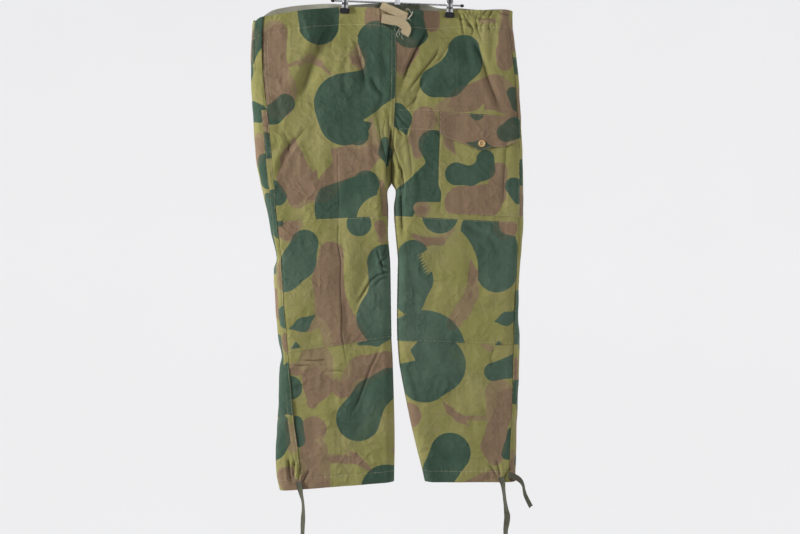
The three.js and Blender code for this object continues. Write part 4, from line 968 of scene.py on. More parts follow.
class Paint:
    """A material with one Principled surface."""

    def __init__(self, name, **surface):
        self.material = bpy.data.materials.new(name)
        self.material.use_nodes = True
        self.tree = self.material.node_tree
        self.tree.nodes.clear()
        self.surface = self.tree.nodes.new("ShaderNodeBsdfPrincipled")
        output = self.tree.nodes.new("ShaderNodeOutputMaterial")
        self.tree.links.new(self.surface.outputs[0], output.inputs["Surface"])
        self.finish(**surface)

    def put(self, socket, value):
        if isinstance(value, Value):
            self.tree.links.new(value.socket, socket)
        else:
            socket.default_value = value

    def add(self, kind, settings, values, output=0):
        node = self.tree.nodes.new(kind)
        for name, setting in settings.items():
            setattr(node, name, setting)
        pairs = values.items() if isinstance(values, dict) else enumerate(values)
        for key, value in pairs:
            self.put(node.inputs[key], value)
        return Value(self, node.outputs[output])

    def attribute(self, name, output="Fac"):
        return self.add("ShaderNodeAttribute", {"attribute_name": name}, (), output)

    def place(self):
        return self.add("ShaderNodeTexCoord", {}, (), "Object")

    def parts(self, vector):
        """The first two parts of a vector."""
        first = self.add("ShaderNodeSeparateXYZ", {}, [vector])
        return first, Value(self, first.socket.node.outputs[1])

    def scaled(self, vector, by):
        return self.add("ShaderNodeVectorMath", {"operation": "MULTIPLY"}, [vector, by])

    def noise(self, vector, scale, detail, rough=0.5):
        return self.add("ShaderNodeTexNoise", {}, {"Vector": vector, "Scale": scale,
                                                   "Detail": detail, "Roughness": rough})

    def ridges(self, vector, scale):
        """Branching raised lines, as where cloth has been crushed."""
        return self.add("ShaderNodeTexNoise", {"noise_type": "RIDGED_MULTIFRACTAL"}, {
            "Vector": vector, "Scale": scale, "Detail": 3.0, "Roughness": 0.55,
            "Offset": 0.9, "Gain": 1.2})

    def mix(self, share, a, b):
        return self.add("ShaderNodeMix", {"data_type": "RGBA"}, {0: share, 6: a, 7: b}, 2)

    def shade(self, colour, by):
        """A colour made lighter or darker by a value."""
        return self.add("ShaderNodeVectorMath", {"operation": "SCALE"}, {0: colour, "Scale": by})

    def bump(self, height, distance, strength, under=None):
        values = {"Height": height, "Distance": distance, "Strength": strength}
        if under is not None:
            values["Normal"] = under
        return self.add("ShaderNodeBump", {}, values)

    def finish(self, **inputs):
        for socket, value in inputs.items():
            self.put(self.surface.inputs[socket.replace("_", " ")], value)
        return self.material


def colour(red, green, blue):
    return (red, green, blue, 1.0)


OLIVE = colour(0.252, 0.240, 0.078)
OLIVE_WORN = colour(0.335, 0.300, 0.128)
GREEN = colour(0.036, 0.078, 0.054)
# A lighter green, for random wear and for the painted light about knee height.
GREEN_WORN_AND_LIT = colour(0.080, 0.134, 0.098)
GREEN_ON_BROWN = colour(0.086, 0.096, 0.060)
GREEN_DRY = colour(0.105, 0.125, 0.052)
OLIVE_BROWNED = colour(0.245, 0.205, 0.105)
BROWN = colour(0.262, 0.194, 0.108)
BROWN_DEEP = colour(0.222, 0.140, 0.096)
REVERSE = colour(0.420, 0.405, 0.315)
WEAVE_PITCH = 0.62


def weave_height(paint, cloth_place, pitch):
    """A close plain weave: warp and weft standing up in turn."""
    u, v = (part * (2 * math.pi / pitch) for part in paint.parts(cloth_place))
    slubs = paint.noise(paint.scaled(cloth_place, (0.05, 1.6, 1)), 1.0, 2)
    return u.call("SINE") * v.call("SINE") + slubs * 1.2


def brush_stroke(paint, cloth_place, stroke):
    """Where a dry brush has dragged the ground colour over the green, ending in teeth."""
    x, drop = (part - start for part, start in zip(paint.parts(cloth_place), stroke["corner"]))
    to_stroke = np.linalg.inv(np.array([stroke["along"], stroke["inward"]]).T)
    along = x * float(to_stroke[0, 0]) + drop * float(to_stroke[0, 1])
    inward = x * float(to_stroke[1, 0]) + drop * float(to_stroke[1, 1])
    pitch = stroke["length"] / stroke["teeth"]
    gap = (along / pitch).call("PINGPONG", 0.5) * 2
    teeth = ((inward / stroke["tooth"] - gap) * 7).clamped()
    ends = (along * 1.2).clamped() * ((stroke["length"] - along) * 1.2).clamped()
    return teeth * ends * ((stroke["depth"] - inward) * 1.2).clamped()


# Where painted light lifts the green most, about the knees, and how far up and down it reaches.
KNEE_LIGHT_BAND = {"middle": 790, "reach": 330}
# How dark the painted shade along the fold lines is.
LINE_SHADE = 0.58


def camouflage(name, stroke=None):
    """Windproof cotton, brush-printed in green and brown on light olive, and well worn, with
    painted light lifting the green about knee height and painted shade in its creases and along
    its fold lines.
    """
    paint = Paint(name, Specular_IOR_Level=0.2, Sheen_Weight=0.1, Sheen_Roughness=0.5)
    cloth_place = paint.attribute("cloth", "Vector")
    broad = paint.noise(cloth_place, 0.009, 3)
    patchy = paint.noise(cloth_place, 0.03, 4, 0.6)
    fine = paint.noise(cloth_place, 0.35, 3)
    speckle = paint.noise(cloth_place, 1.1, 2, 0.6)
    drop = paint.parts(cloth_place)[1]
    # painted light: a band about knee height, on fronts and backs alike, in which the green is
    # made lighter
    knee = (1.0 - (drop - KNEE_LIGHT_BAND["middle"]).call("ABSOLUTE") / KNEE_LIGHT_BAND["reach"]).clamped()
    streaks = paint.noise(paint.scaled(cloth_place, (0.16, 0.012, 1)), 1.0, 3)
    brushed = paint.noise(paint.scaled(cloth_place, (0.9, 0.06, 1)), 1.0, 2)
    green_edge = paint.attribute("green") + (fine - 0.5) * 1.2
    brown_edge = paint.attribute("brown") + (fine - 0.5) * 1.8 + (brushed - 0.5) * 1.4
    green = (0.5 - green_edge * 1.6).clamped()
    if stroke:
        green = green * (1.0 - brush_stroke(paint, cloth_place, stroke))
    brown = (0.5 - brown_edge * 1.2).clamped()
    core = paint.noise(cloth_place, 0.008, 1)
    coat_edge = (core - 0.46) * 170 - brown_edge - 6 + (brushed - 0.5) * 4
    second_coat = ((coat_edge * 0.6).clamped() * 0.8 + (streaks - 0.42) * 0.45).clamped()
    olive_tone = paint.mix(((broad - 0.5) * 1.6 + streaks * 0.5 + (patchy - 0.5) * 1.2).clamped(),
                           OLIVE, OLIVE_WORN)
    olive_tone = paint.mix(((patchy - 0.56) * 3 + (streaks - 0.5)).clamped() * 0.5, olive_tone,
                           OLIVE_BROWNED)
    brown_tone = paint.mix(second_coat, BROWN, BROWN_DEEP)
    # random wear, with the painted light of the knee band
    green_worn_and_lit = (broad - 0.5) * 1.2 + (patchy - 0.5) * 0.8 + knee * 0.65 + 0.12
    green_tone = paint.mix(green_worn_and_lit.clamped(), GREEN, GREEN_WORN_AND_LIT)
    green_tone = paint.mix(brown * (0.15 + patchy * 0.7).clamped(), green_tone, GREEN_ON_BROWN)
    tone = paint.mix(brown * (0.80 + streaks * 0.25), olive_tone, brown_tone)
    tone = paint.mix(green * (0.92 + fine * 0.1), tone, green_tone)
    dry = (0.5 - paint.attribute("dry") * 0.06).clamped()
    bristles = paint.noise(paint.scaled(cloth_place, (0.35, 0.03, 1)), 1.0, 4, 0.7)
    tone = paint.mix(dry * ((bristles - 0.36) * 2.4).clamped() * 0.6, tone, GREEN_DRY)
    fold = paint.attribute("fold").call("ABSOLUTE").call(
        "MAXIMUM", paint.attribute("clear") - 2.0)
    groove = (fold / 1.6).clamped().call("POWER", 0.8)
    rise = paint.attribute("rise")
    # wear and painted shade: lighter on the ridges of the relief, where it rubs, and painted
    # darker in its creases and hollows
    wear_and_fold_shade = (rise * 0.05 + 1.0).call("MAXIMUM", 0.80).call("MINIMUM", 1.09)
    weave = weave_height(paint, cloth_place, WEAVE_PITCH)
    # painted shade: the colour is darkened along the fold lines
    line_shade = LINE_SHADE + groove * (1 - LINE_SHADE)
    grain = (wear_and_fold_shade * line_shade * (0.86 + fine * 0.18 + speckle * 0.10)
             * (weave * 0.012 + 1.0))
    tone = paint.shade(tone, grain)
    crumple = paint.noise(cloth_place, 0.10, 5, 0.6)
    creased = paint.ridges(paint.scaled(cloth_place, (1.0, 0.55, 1)), 0.017)
    crackle = paint.ridges(cloth_place, 0.045)
    patches = ((paint.noise(cloth_place, 0.012, 2) - 0.4) * 3).clamped()
    height = crumple * 0.6 + creased * patches * 1.6 + crackle * (patches * 0.7 + 0.3) * 0.8
    soft = paint.bump(height, 0.0028, 0.9)
    folded = paint.bump(groove, 0.0011, 0.9, soft)
    woven = paint.bump(weave, 0.00012, 0.5, folded)
    return paint.finish(Base_Color=tone, Roughness=0.86 + fine * 0.08, Normal=woven)


def plain_cotton(name, tone, second, pitch=0.9, rib=None, printed=None):
    """Cotton with a weave or ribs, slubs and a soiled tint, and any print showing through."""
    paint = Paint(name, Specular_IOR_Level=0.2, Sheen_Weight=0.1)
    cloth_place = paint.attribute("cloth", "Vector")
    patchy = paint.noise(cloth_place, 0.06, 4, 0.6)
    slubs = paint.noise(paint.scaled(cloth_place, (0.12, 1.5, 1)), 1.0, 3)
    weave = weave_height(paint, cloth_place, pitch)
    if rib:
        u, v = (part * (2 * math.pi / rib) for part in paint.parts(cloth_place))
        weave = (u + v.call("SINE") * 0.9).call("SINE") * 0.9 + weave * 0.4
    share = ((patchy - 0.5) * 1.2 + 0.5 + (slubs - 0.5) * 0.5).clamped()
    tone = paint.mix(share, tone, second)
    if printed:
        through = (0.5 - (paint.attribute("green") + (slubs - 0.5) * 4) * 0.12).clamped()
        tone = paint.mix(through * 0.85, tone, printed)
    tone = paint.shade(tone, 0.93 + weave * 0.035)
    soft = paint.bump(slubs, 0.0004, 0.4)
    return paint.finish(Base_Color=tone, Roughness=0.9 + patchy * 0.06,
                        Normal=paint.bump(weave, 0.00025, 0.7, soft))


def metal(name, tone, roughness, worn):
    """Bright plated steel wire and plate, with fine scratches and dull spots."""
    paint = Paint(name, Metallic=1.0)
    place = paint.place()
    spots = paint.noise(place, 240.0, 4, 0.6)
    scratches = paint.noise(paint.scaled(place, (3200.0, 300.0, 160.0)), 1.0, 2)
    dull = ((spots - 0.52) * 6).clamped()
    return paint.finish(Base_Color=paint.mix(dull * 0.6, tone, worn),
                        Roughness=roughness + dull * 0.22 + scratches * 0.08,
                        Normal=paint.bump(scratches, 0.00003, 0.3))


def rubber(name):
    paint = Paint(name, Specular_IOR_Level=0.35)
    place = paint.place()
    dust = paint.noise(place, 420.0, 4, 0.65)
    pores = paint.noise(place, 2600.0, 2)
    tone = paint.mix(((dust - 0.45) * 3).clamped() * 0.5, colour(0.012, 0.011, 0.014),
                     colour(0.045, 0.042, 0.045))
    return paint.finish(Base_Color=tone, Roughness=0.62 + dust * 0.2,
                        Normal=paint.bump(pores, 0.00008, 0.5))


def horn(name):
    """A polished tan button with drifting darker grain, and painted shade darkening its dish
    towards the centre.
    """
    paint = Paint(name, Coat_Weight=0.6, Coat_Roughness=0.12)
    place = paint.place()
    grain = paint.noise(paint.scaled(place, (500.0, 300.0, 150.0)), 1.0, 4, 0.6)
    tone = paint.mix(((grain - 0.4) * 2.4).clamped(), colour(0.66, 0.42, 0.17),
                     colour(0.46, 0.26, 0.09))
    # painted shade: the dish is painted darker towards its centre
    centre = (1.35 - paint.attribute("dish") * 2.2).clamped()
    tone = paint.mix(centre * 0.85, tone, colour(0.12, 0.055, 0.022))
    return paint.finish(Base_Color=tone, Roughness=0.3 + grain * 0.2,
                        Normal=paint.bump(grain, 0.0001, 0.3))


def thread(name, tone):
    paint = Paint(name, Specular_IOR_Level=0.3, Sheen_Weight=0.2)
    twist = paint.noise(paint.scaled(paint.place(), (900.0, 900.0, 2600.0)), 1.0, 2)
    return paint.finish(Base_Color=paint.shade(tone[:3], 0.75 + twist * 0.5),
                        Roughness=0.75 + twist * 0.2, Normal=paint.bump(twist, 0.0001, 0.4))


CAMOUFLAGE = camouflage("camouflage cotton")
CAMOUFLAGE_BRUSHED = camouflage("camouflage cotton with a brush stroke", BRUSH_STROKE)
CLOTH_REVERSE = plain_cotton("cotton reverse", REVERSE, colour(0.34, 0.345, 0.28),
                             printed=colour(0.085, 0.100, 0.070))
TAPE_COTTON = plain_cotton("cotton tape", colour(0.60, 0.49, 0.315), colour(0.44, 0.345, 0.205),
                           0.8, rib=1.7)
ANKLE_COTTON = plain_cotton("ankle tape cotton", colour(0.135, 0.132, 0.095),
                            colour(0.092, 0.094, 0.066), 0.8, rib=1.5)
CHROME = metal("plated steel", colour(0.56, 0.56, 0.59), 0.2, colour(0.34, 0.34, 0.35))
RUBBER = rubber("black rubber")
HORN = horn("horn button")
THREAD_OLIVE = thread("olive thread", colour(0.68, 0.64, 0.44))
THREAD_PALE = thread("pale thread", colour(0.52, 0.50, 0.38))
THREAD_TAN = thread("tan thread", colour(0.56, 0.43, 0.24))


# ------------------------------------------------------------------ camera, light and room
CAMERA = {"lens": 64, "place": (0.002, -3.225, -0.693)}


def aim_camera():
    lens = bpy.data.cameras.new("camera")
    lens.lens = CAMERA["lens"]
    camera = bpy.data.objects.new("camera", lens)
    camera.location = CAMERA["place"]
    camera.rotation_euler = (math.radians(90), 0, 0)
    bpy.context.scene.collection.objects.link(camera)
    bpy.context.scene.camera = camera


def soft_light(name, place, target, size, power):
    light = bpy.data.lights.new(name, "AREA")
    light.shape = "RECTANGLE"
    light.size, light.size_y = size
    light.energy = power
    lamp = bpy.data.objects.new(name, light)
    bpy.context.scene.collection.objects.link(lamp)
    lamp.location = place
    away = np.array(place) - np.array(target)
    lamp.rotation_euler = (math.atan2(np.hypot(away[0], away[1]), away[2]), 0,
                           math.atan2(away[1], away[0]) + math.pi / 2)


ROOM = {"floor": -2.3, "flat": 3.8, "sweep": 1.6, "top": 4.6, "around": 96}


def studio():
    """A round pale room whose wall sweeps into the floor, giving soft light all round."""
    flat, sweep, around = ROOM["flat"], ROOM["sweep"], ROOM["around"]
    profile = [(flat, ROOM["floor"])]
    for turn in np.radians(np.arange(10, 91, 10)):
        profile.append((flat + sweep * math.sin(turn),
                        ROOM["floor"] + sweep * (1 - math.cos(turn))))
    profile.append((flat + sweep, ROOM["top"]))
    angles = np.arange(around) * 2 * math.pi / around
    points = [(0, 0, ROOM["floor"] / MM)]
    for radius, height in profile:
        points += [(radius * math.cos(a) / MM, radius * math.sin(a) / MM, height / MM)
                   for a in angles]
    faces = [(0, 1 + i, 1 + (i + 1) % around) for i in range(around)]
    faces += ring_walls(len(profile), around, first=1, flip=True)
    paint = Paint("studio wall", Roughness=0.95, Specular_IOR_Level=0.1)
    depth = paint.parts(paint.place())[1]
    paper = paint.noise(paint.place(), 1.4, 3)
    glow = (depth * 0.22 + 0.5).clamped() * 0.62 + 0.10 + (paper - 0.5) * 0.02
    paint.finish(Base_Color=colour(0.22, 0.22, 0.22), Emission_Color=paint.shade(
        (0.985, 0.985, 1.0), glow), Emission_Strength=1.0)
    new_object("studio_room", points, faces, [paint.material])


def world_light():
    world = bpy.data.worlds.new("pale studio")
    bpy.context.scene.world = world
    world.use_nodes = True
    background = world.node_tree.nodes["Background"].inputs
    background["Color"].default_value = colour(0.9, 0.9, 0.92)
    background["Strength"].default_value = 0.12


aim_camera()
world_light()
studio()
for light_name, *settings in [  # where it stands, where it points, its size and its power
        ("light_left", (-2.8, -1.15, -0.2), (0, 0, -0.75), (0.7, 1.2), 96),
        ("light_right", (2.8, -1.5, -0.4), (0, 0, -0.75), (0.9, 1.4), 36),
        ("light_front", (0.2, -3.6, 1.2), (0, 0, -0.7), (2.0, 1.2), 15),
        ("light_back", (0.4, 3.6, 0.9), (0, 0, -0.65), (2.6, 2.0), 22)]:
    soft_light(light_name, *settings)
bpy.context.scene.view_settings.view_transform = "Standard"


# ------------------------------------------------------------------ tapes
def smooth_route(rows, count):
    """A smooth line of places through given rows of x, y, drop and one value more."""
    rows = np.array(rows, float)
    lengths = lengths_along(rows[:, :3])
    at = np.linspace(0, lengths[-1], count(lengths[-1]))
    x, y, drop, last = (curve(lengths, column)(at) for column in rows.T)
    return np.stack([x, y, -drop], axis=1), last


def tape_frames(centres, turns):
    """The width and face directions of a flat tape along its centres."""
    along = np.gradient(centres, axis=0)
    along /= np.linalg.norm(along, axis=1, keepdims=True)
    face = np.array([0.0, -1.0, 0.0]) - along * (along @ np.array([0.0, -1.0, 0.0]))[:, None]
    face /= np.linalg.norm(face, axis=1, keepdims=True)
    side = np.cross(along, face)
    cos, sin = np.cos(turns)[:, None], np.sin(turns)[:, None]
    return side * cos - face * sin, face * cos + side * sin


# Half a tape's section: places across it, and the share of its thickness there.
TAPE_SECTION = [(-1, 0.25), (-0.97, 0.8), (-0.8, 1), (-0.5, 1), (-0.2, 1)]


def tape(name, rows, width, thick, material, cup, ragged, step=2.0):
    """A flat woven tape with rounded selvedges, slightly cupped along its length."""
    centres, turns = smooth_route(rows, lambda length: int(round(length / step)) + 1)
    side, face = tape_frames(centres, np.radians(turns))
    upper = TAPE_SECTION + [(-across, share) for across, share in TAPE_SECTION[::-1]]
    ring = ([(across, share) for across, share in upper]
            + [(across, -share) for across, share in upper[::-1]])
    lengths = lengths_along(centres)
    points, marks = [], []
    for i, centre in enumerate(centres):
        wander = 0.25 * math.sin(lengths[i] / 3.7) + 0.18 * math.sin(lengths[i] / 1.9 + 1)
        tip = ragged if i == len(centres) - 1 else 0.0
        along = centre - centres[i - 1] if i else np.zeros(3)
        for k, (across, share) in enumerate(ring):
            s = 0.5 * width * across
            out = 0.5 * thick * share + cup * across**2 + wander * 0.3
            points.append(centre + side[i] * s * (1 + 0.02 * wander) + face[i] * out
                          + along * tip * math.sin(2.3 * s + 0.7 * k))
            marks.append((s, lengths[i], 0.0))
    piece = new_object(name, points, tube_faces(len(centres), len(ring)), [material],
                       attributes={"cloth": np.array(marks)})
    return piece, centres * MM, float(lengths[-1]) * MM


def stand_for(piece, slot, *nodes):
    """Ride with the garment in the place of the part's own solids."""
    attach(piece, "root")
    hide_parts(*nodes)


def ankle_tapes():
    for node, rows in ANKLE_TAPES.items():
        piece, path, length = tape(f"{node}_cloth", rows, ANKLE_TAPE_WIDTH - 0.4, 1.0,
                                   ANKLE_COTTON, cup=0.8, ragged=0.8)
        stand_for(piece, "ankle_tape_cotton", node)


ankle_tapes()


def waist_tapes():
    for end, rows in (("a", WAIST_TAPE_A), ("b", WAIST_TAPE_B)):
        width = WAIST_TAPE_WIDTH[end]
        piece, _, length = tape(f"waist_tape_{end}", rows, width, 1.1, TAPE_COTTON,
                                cup=0.9, ragged=1.2, step=1.5)
        stand_for(piece, "tape_cotton", f"waist_tape_end_{end}")


waist_tapes()

# Threads worked loose from the cut ends of the waist tape: x, y, drop and half thickness.
LOOSE_THREADS = [
    [(15.3, -28.6, 116, 0.5), (19.1, -30.2, 112.5, 0.55), (23.6, -30.6, 117, 0.5),
     (27, -30.4, 122.5, 0.5), (31, -29.4, 118, 0.4)],
    [(30.4, -28.8, 119.3, 1.0), (28.1, -29.2, 126, 1.3), (22.5, -29.2, 132.8, 1.2),
     (19.1, -28.6, 137, 0.8)],
    [(17, -29.0, 131, 0.35), (22, -30.2, 134, 0.35), (26, -29.6, 140, 0.3)],
    [(0.7, -26.8, 156, 0.6), (-3.4, -27.6, 164.3, 0.6), (-6.1, -27.4, 171, 0.5),
     (-2.3, -27.0, 176, 0.4)],
    [(3.4, -27.0, 159.8, 0.45), (0, -28.2, 166.5, 0.5), (2.2, -28.0, 172, 0.4)],
    [(8, -27.2, 169, 0.35), (6, -28.0, 176, 0.35), (9, -27.8, 182, 0.3)],
]


STRAND_SIDES = 6


def round_strand(name, rows, material):
    """A thread of changing thickness along a smooth line."""
    centres, half = smooth_route(rows, lambda length: max(4, int(length / 0.8)))
    side, face = tape_frames(centres, np.zeros(len(centres)))
    points = []
    for centre, across, up, radius in zip(centres, side, face, half):
        points += circle(centre, across, up, radius, STRAND_SIDES)
    faces = tube_faces(len(centres), STRAND_SIDES)
    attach(new_object(name, points, faces, [material]), "root")


for number, rows in enumerate(LOOSE_THREADS):
    round_strand(f"loose_thread_{number}", rows, THREAD_PALE)


def declare(piece, nodes):
    """Ride with the garment and replace the part's own solids, for one piece of the garment."""
    stand_for(piece, "camouflage_cotton", *nodes)


FINISHES = [CAMOUFLAGE, CLOTH_REVERSE]


def panel(leg, face, pitch):
    """A whole trouser panel from waist edge to hem, with its turned casings."""
    levels = with_lines(fine_steps(WAIST, HEM, pitch), (WAIST + CASING, HEM - HEM_CASING))
    t, level = grid_of(fine_steps(0, PANEL_WIDTH[face], pitch) / PANEL_WIDTH[face], levels)
    edge = 0.6 * np.exp(-(level - WAIST) / 1.2) + 0.6 * np.exp(-(HEM - level) / 1.2)
    place = cloth(leg, face, t, level, -edge)
    doubled = np.maximum(1 - smooth(level, WAIST + CASING - 1, WAIST + CASING + 1),
                         smooth(level, HEM - HEM_CASING - 1, HEM - HEM_CASING + 1))
    wall = CLOTH_WALL + 0.5 * doubled - edge
    inner = place["point"] - place["normal"] * wall[..., None]
    name = f"{face}_{leg}"
    piece = shell(f"{name}_cloth", place["point"], inner, leg == "right", FINISHES,
                  print_layers(name, place))
    nodes = [f"{name}_panel", f"waist_casing_{face}_{leg}"]
    if face == "front":
        nodes.append(f"hem_casing_{leg}")
    declare(piece, nodes)


def thread_line(place):
    """A line of places and directions for sewing, from one row of the cloth."""
    return place["point"].reshape(-1, 3), place["normal"].reshape(-1, 3)


def stitch_mesh(lines):
    """Small raised lozenges along each line on the cloth, one for each stitch."""
    points, faces = [], []
    for places, normals in lines:
        lengths = lengths_along(places)
        starts = np.arange(0.5, lengths[-1] - STITCH["length"], STITCH["pitch"])
        if not len(starts):
            continue

        def read(at, rows):
            return np.stack([np.interp(at, lengths, rows[:, i]) for i in range(3)], axis=1)
        uneven = 0.12 * np.sin(starts * 1.7)
        start = read(starts, places)
        end = read(starts + STITCH["length"] * (1 + uneven), places)
        middle = read(starts + 0.5 * STITCH["length"], places)
        up = read(starts, normals)
        side = np.cross(up, end - start)
        side /= np.linalg.norm(side, axis=1, keepdims=True) + 1e-9
        side *= 0.5 * STITCH["width"]
        first = len(points)
        for corner in zip(start, middle + side, end, middle - side,
                          middle + up * STITCH["proud"], middle - up * 0.3):
            points.extend(corner)
        for i in range(len(starts)):
            a, b, c, d, top, low = range(first + 6 * i, first + 6 * i + 6)
            faces += [(a, b, top), (b, c, top), (c, d, top), (d, a, top),
                      (b, a, low), (c, b, low), (d, c, low), (a, d, low)]
    return points, faces


def sew(name, lines, material):
    points, faces = stitch_mesh(lines)
    piece = new_object(name, points, faces, [material])
    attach(piece, "root")


def front_line(leg, places):
    """A sewing line on a front panel through (share, level) places."""
    places = np.array(places, float)
    run = lengths_along(places * (PANEL_WIDTH["front"], 1))
    at = np.arange(0, run[-1], 1.5)
    return thread_line(cloth(leg, "front", *(np.interp(at, run, column)
                                             for column in places.T)))


# ------------------------------------------------------------------ what is sewn on
def layer_lift(top, reach, along):
    """How high a sewn-on layer stands: turned down at its edge, drawn in at its seam."""
    turned = np.exp(-np.maximum(reach, 0) / 1.0)
    lift = top - 0.75 * (top - LAYER_GAP - 0.35) * turned
    return (lift - 0.3 * np.exp(-((reach - SEAM_IN) / 0.9)**2)
            + pucker(along, reach - SEAM_IN, 4, 0.22))


def loose_lift(loose, sewn, free):
    """How far a piece sewn only along its top stands off at its other edges."""
    return loose * np.exp(-free / 9) * smooth(sewn, 0, 14) - 0.3 * np.exp(
        -((free - SEAM_IN) / 0.9)**2)


def sewn_on(name, leg, t, level, top, wall, print_name, nodes, face="front", loose=0.0):
    """A piece sewn on a panel: a grid of the panel's own places moved out."""
    run = run_at(leg, face, t, level)
    across = np.minimum(np.abs(run - run[:1]), np.abs(run[-1:] - run))
    from_top, to_bottom = level - level[:, :1], level[:, -1:] - level
    if loose:
        lift = layer_lift(top, from_top, level + run) + loose_lift(
            loose, from_top, np.minimum(across, to_bottom))
    else:
        lift = layer_lift(top, np.minimum(across, np.minimum(from_top, to_bottom)), level + run)
    place = cloth(leg, face, t, level, lift)
    inner = place["point"] - place["normal"] * np.minimum(wall, lift - 0.3)[..., None]
    finishes = [CAMOUFLAGE_BRUSHED if print_name == "knee_left" else CAMOUFLAGE, CLOTH_REVERSE]
    piece = shell(name, place["point"], inner, leg == "right", finishes,
                  print_layers(print_name, place))
    declare(piece, nodes)


def border_lines(leg, t, level, top, sides, seam=SEAM_IN, face="front", loose=0.0):
    """Lines of sewing just inside the chosen sides of a sewn-on piece's grid."""
    run = run_at(leg, face, t, level)
    inset = seam / np.abs(run[-1] - run[0])
    lines = []
    for side in sides:
        if side in ("inner", "outer"):
            at = inset if side == "inner" else 1 - inset
            line_t, line_level, line_run = (grid[0] + (grid[-1] - grid[0]) * at
                                            for grid in (t, level, run))
        else:
            column = 0 if side == "top" else -1
            line_level = level[:, column] + (seam if side == "top" else -seam)
            line_t, line_run = t[:, column], run[:, 0]
            short = inset.mean() * np.ptp(line_t)
            line_t = np.clip(line_t, line_t.min() + short, line_t.max() - short)
        along = line_level + line_run
        if loose and side != "top":
            from_top = line_level - level[:, 0].mean()
            lift = layer_lift(top, from_top, along) + loose_lift(loose, from_top, seam)
        else:
            lift = layer_lift(top, seam, along)
        lines.append(thread_line(cloth(leg, face, line_t, line_level, lift + 0.05)))
    return lines


def grid_of(columns, levels):
    """Shares and levels of a plain grid: columns are shares, one for each column."""
    return np.meshgrid(np.asarray(columns, float), np.asarray(levels, float), indexing="ij")


def level_at(leg, x, drop):
    """The level line of the front cloth that passes through a place."""
    level = float(drop)
    for _ in range(8):
        here = form(leg, run_at(leg, "front", share_at(leg, level, x), level), level)
        level += drop + float(here[..., 2])
    return level


def front_place(leg, x, drop):
    level = level_at(leg, x, drop)
    return share_at(leg, level, x), level


def through(leg, *places):
    """(share, level) places of the front panel for (x, drop) places."""
    return [front_place(leg, x, drop) for x, drop in places]


def knee_patch(leg):
    edge = 0.6 / KNEE_WIDTH
    across = fine_steps(0, KNEE_WIDTH, KNEE_PITCH) / KNEE_WIDTH
    t, level = grid_of(edge + (1 - 2 * edge) * across,
                       fine_steps(KNEE_TOP, KNEE_BOTTOM[leg], KNEE_PITCH))
    sewn_on(f"knee_patch_{leg}_cloth", leg, t, level, PATCH_TOP, 1.0, f"knee_{leg}",
            [f"knee_patch_{leg}"])
    return border_lines(leg, t, level, PATCH_TOP, ("top", "bottom"))


def pocket_shares(level):
    return (share_at("left", level, POCKET["from"]), share_at("left", level, POCKET["to"]))


def thigh_pocket():
    start, end = pocket_shares(POCKET["top"])
    width = POCKET["to"] - POCKET["from"]
    t, level = grid_of(start + (end - start) * fine_steps(0, width, POCKET_PITCH) / width,
                       fine_steps(POCKET["top"], POCKET["bottom"], POCKET_PITCH))
    sewn_on("thigh_pocket_cloth", "left", t, level, POCKET_TOP, 1.5, "pocket", ["thigh_pocket"])
    return border_lines("left", t, level, POCKET_TOP, ("inner", "outer", "bottom"))


def flap_grid():
    start, end = pocket_shares(POCKET["flap_top"])
    width = POCKET["to"] - POCKET["from"]
    shares = start + (end - start) * fine_steps(-1.5, width + 0.5, POCKET_PITCH) / width
    top = POCKET["flap_top"]
    edge = np.full(shares.shape, top + 60.0)
    wanted = None
    for _ in range(8):
        here = form("left", run_at("left", "front", shares, edge), edge)
        if wanted is None:
            wanted = curve(FLAP_EDGE[:, 0], FLAP_EDGE[:, 1])(here[..., 0])
        edge = edge + wanted + here[..., 2]
    down = fine_steps(0, 80, POCKET_PITCH) / 80
    return np.broadcast_arrays(shares[:, None], top + (edge[:, None] - top) * down[None, :])


def pocket_flap():
    t, level = flap_grid()
    sewn_on("pocket_flap_cloth", "left", t, level, FLAP_TOP, 1.1, "flap", ["pocket_flap"],
            loose=FLAP_STANDS_OFF)
    return border_lines("left", t, level, FLAP_TOP, ("top", "inner", "outer", "bottom"),
                        loose=FLAP_STANDS_OFF)


STRIP_ACROSS = fine_steps(0, 1, 0.16, edge=(0.05, 0.11, 0.17, 0.26))[:, None]


def strip_grid(leg, levels, start, end):
    """A grid on the back panel, between two runs round the side, each one for every level."""
    line = LegLines(leg, levels)
    gap = half_side_gap(leg, levels)
    whole = line.seam - gap + line.end
    runs = start + (end - start) * STRIP_ACROSS
    return (runs + line.seam - gap) / whole, np.broadcast_to(levels, runs.shape)


def felled_seam(leg):
    """The doubled strip of the felled side seam, lapped towards the back."""
    first = POCKET["flap_top"] + 2 if leg == "right" else WAIST + CASING + 1
    levels = fine_steps(first, HEM - HEM_CASING - 1, STRIP_PITCH)
    line = LegLines(leg, levels)
    gap = half_side_gap(leg, levels)
    t, level = strip_grid(leg, levels, gap + 0.4 - line.seam, np.minimum(FELL - line.seam, -3))
    sewn_on(f"side_seam_{leg}_cloth", leg, t, level, FELL_TOP, 0.8, f"strip_{leg}",
            [f"side_seam_{leg}"], face="back")
    return border_lines(leg, t, level, FELL_TOP, ("inner", "outer"), seam=1.8, face="back")


def slit_strip():
    """The narrow felled strip between the side edge and the slit."""
    levels = fine_steps(SLIT_STRIP["from"], SLIT_STRIP["to"], STRIP_PITCH)
    lean = (levels - SLIT_STRIP["from"]) / (SLIT_STRIP["to"] - SLIT_STRIP["from"])
    t, level = strip_grid("right", levels, -22.5 - 6 * lean, -16.7 - 7.5 * lean)
    sewn_on("side_slit_strip_cloth", "right", t, level, FELL_TOP, 0.8, "back_right",
            ["side_slit_strip"], face="back")


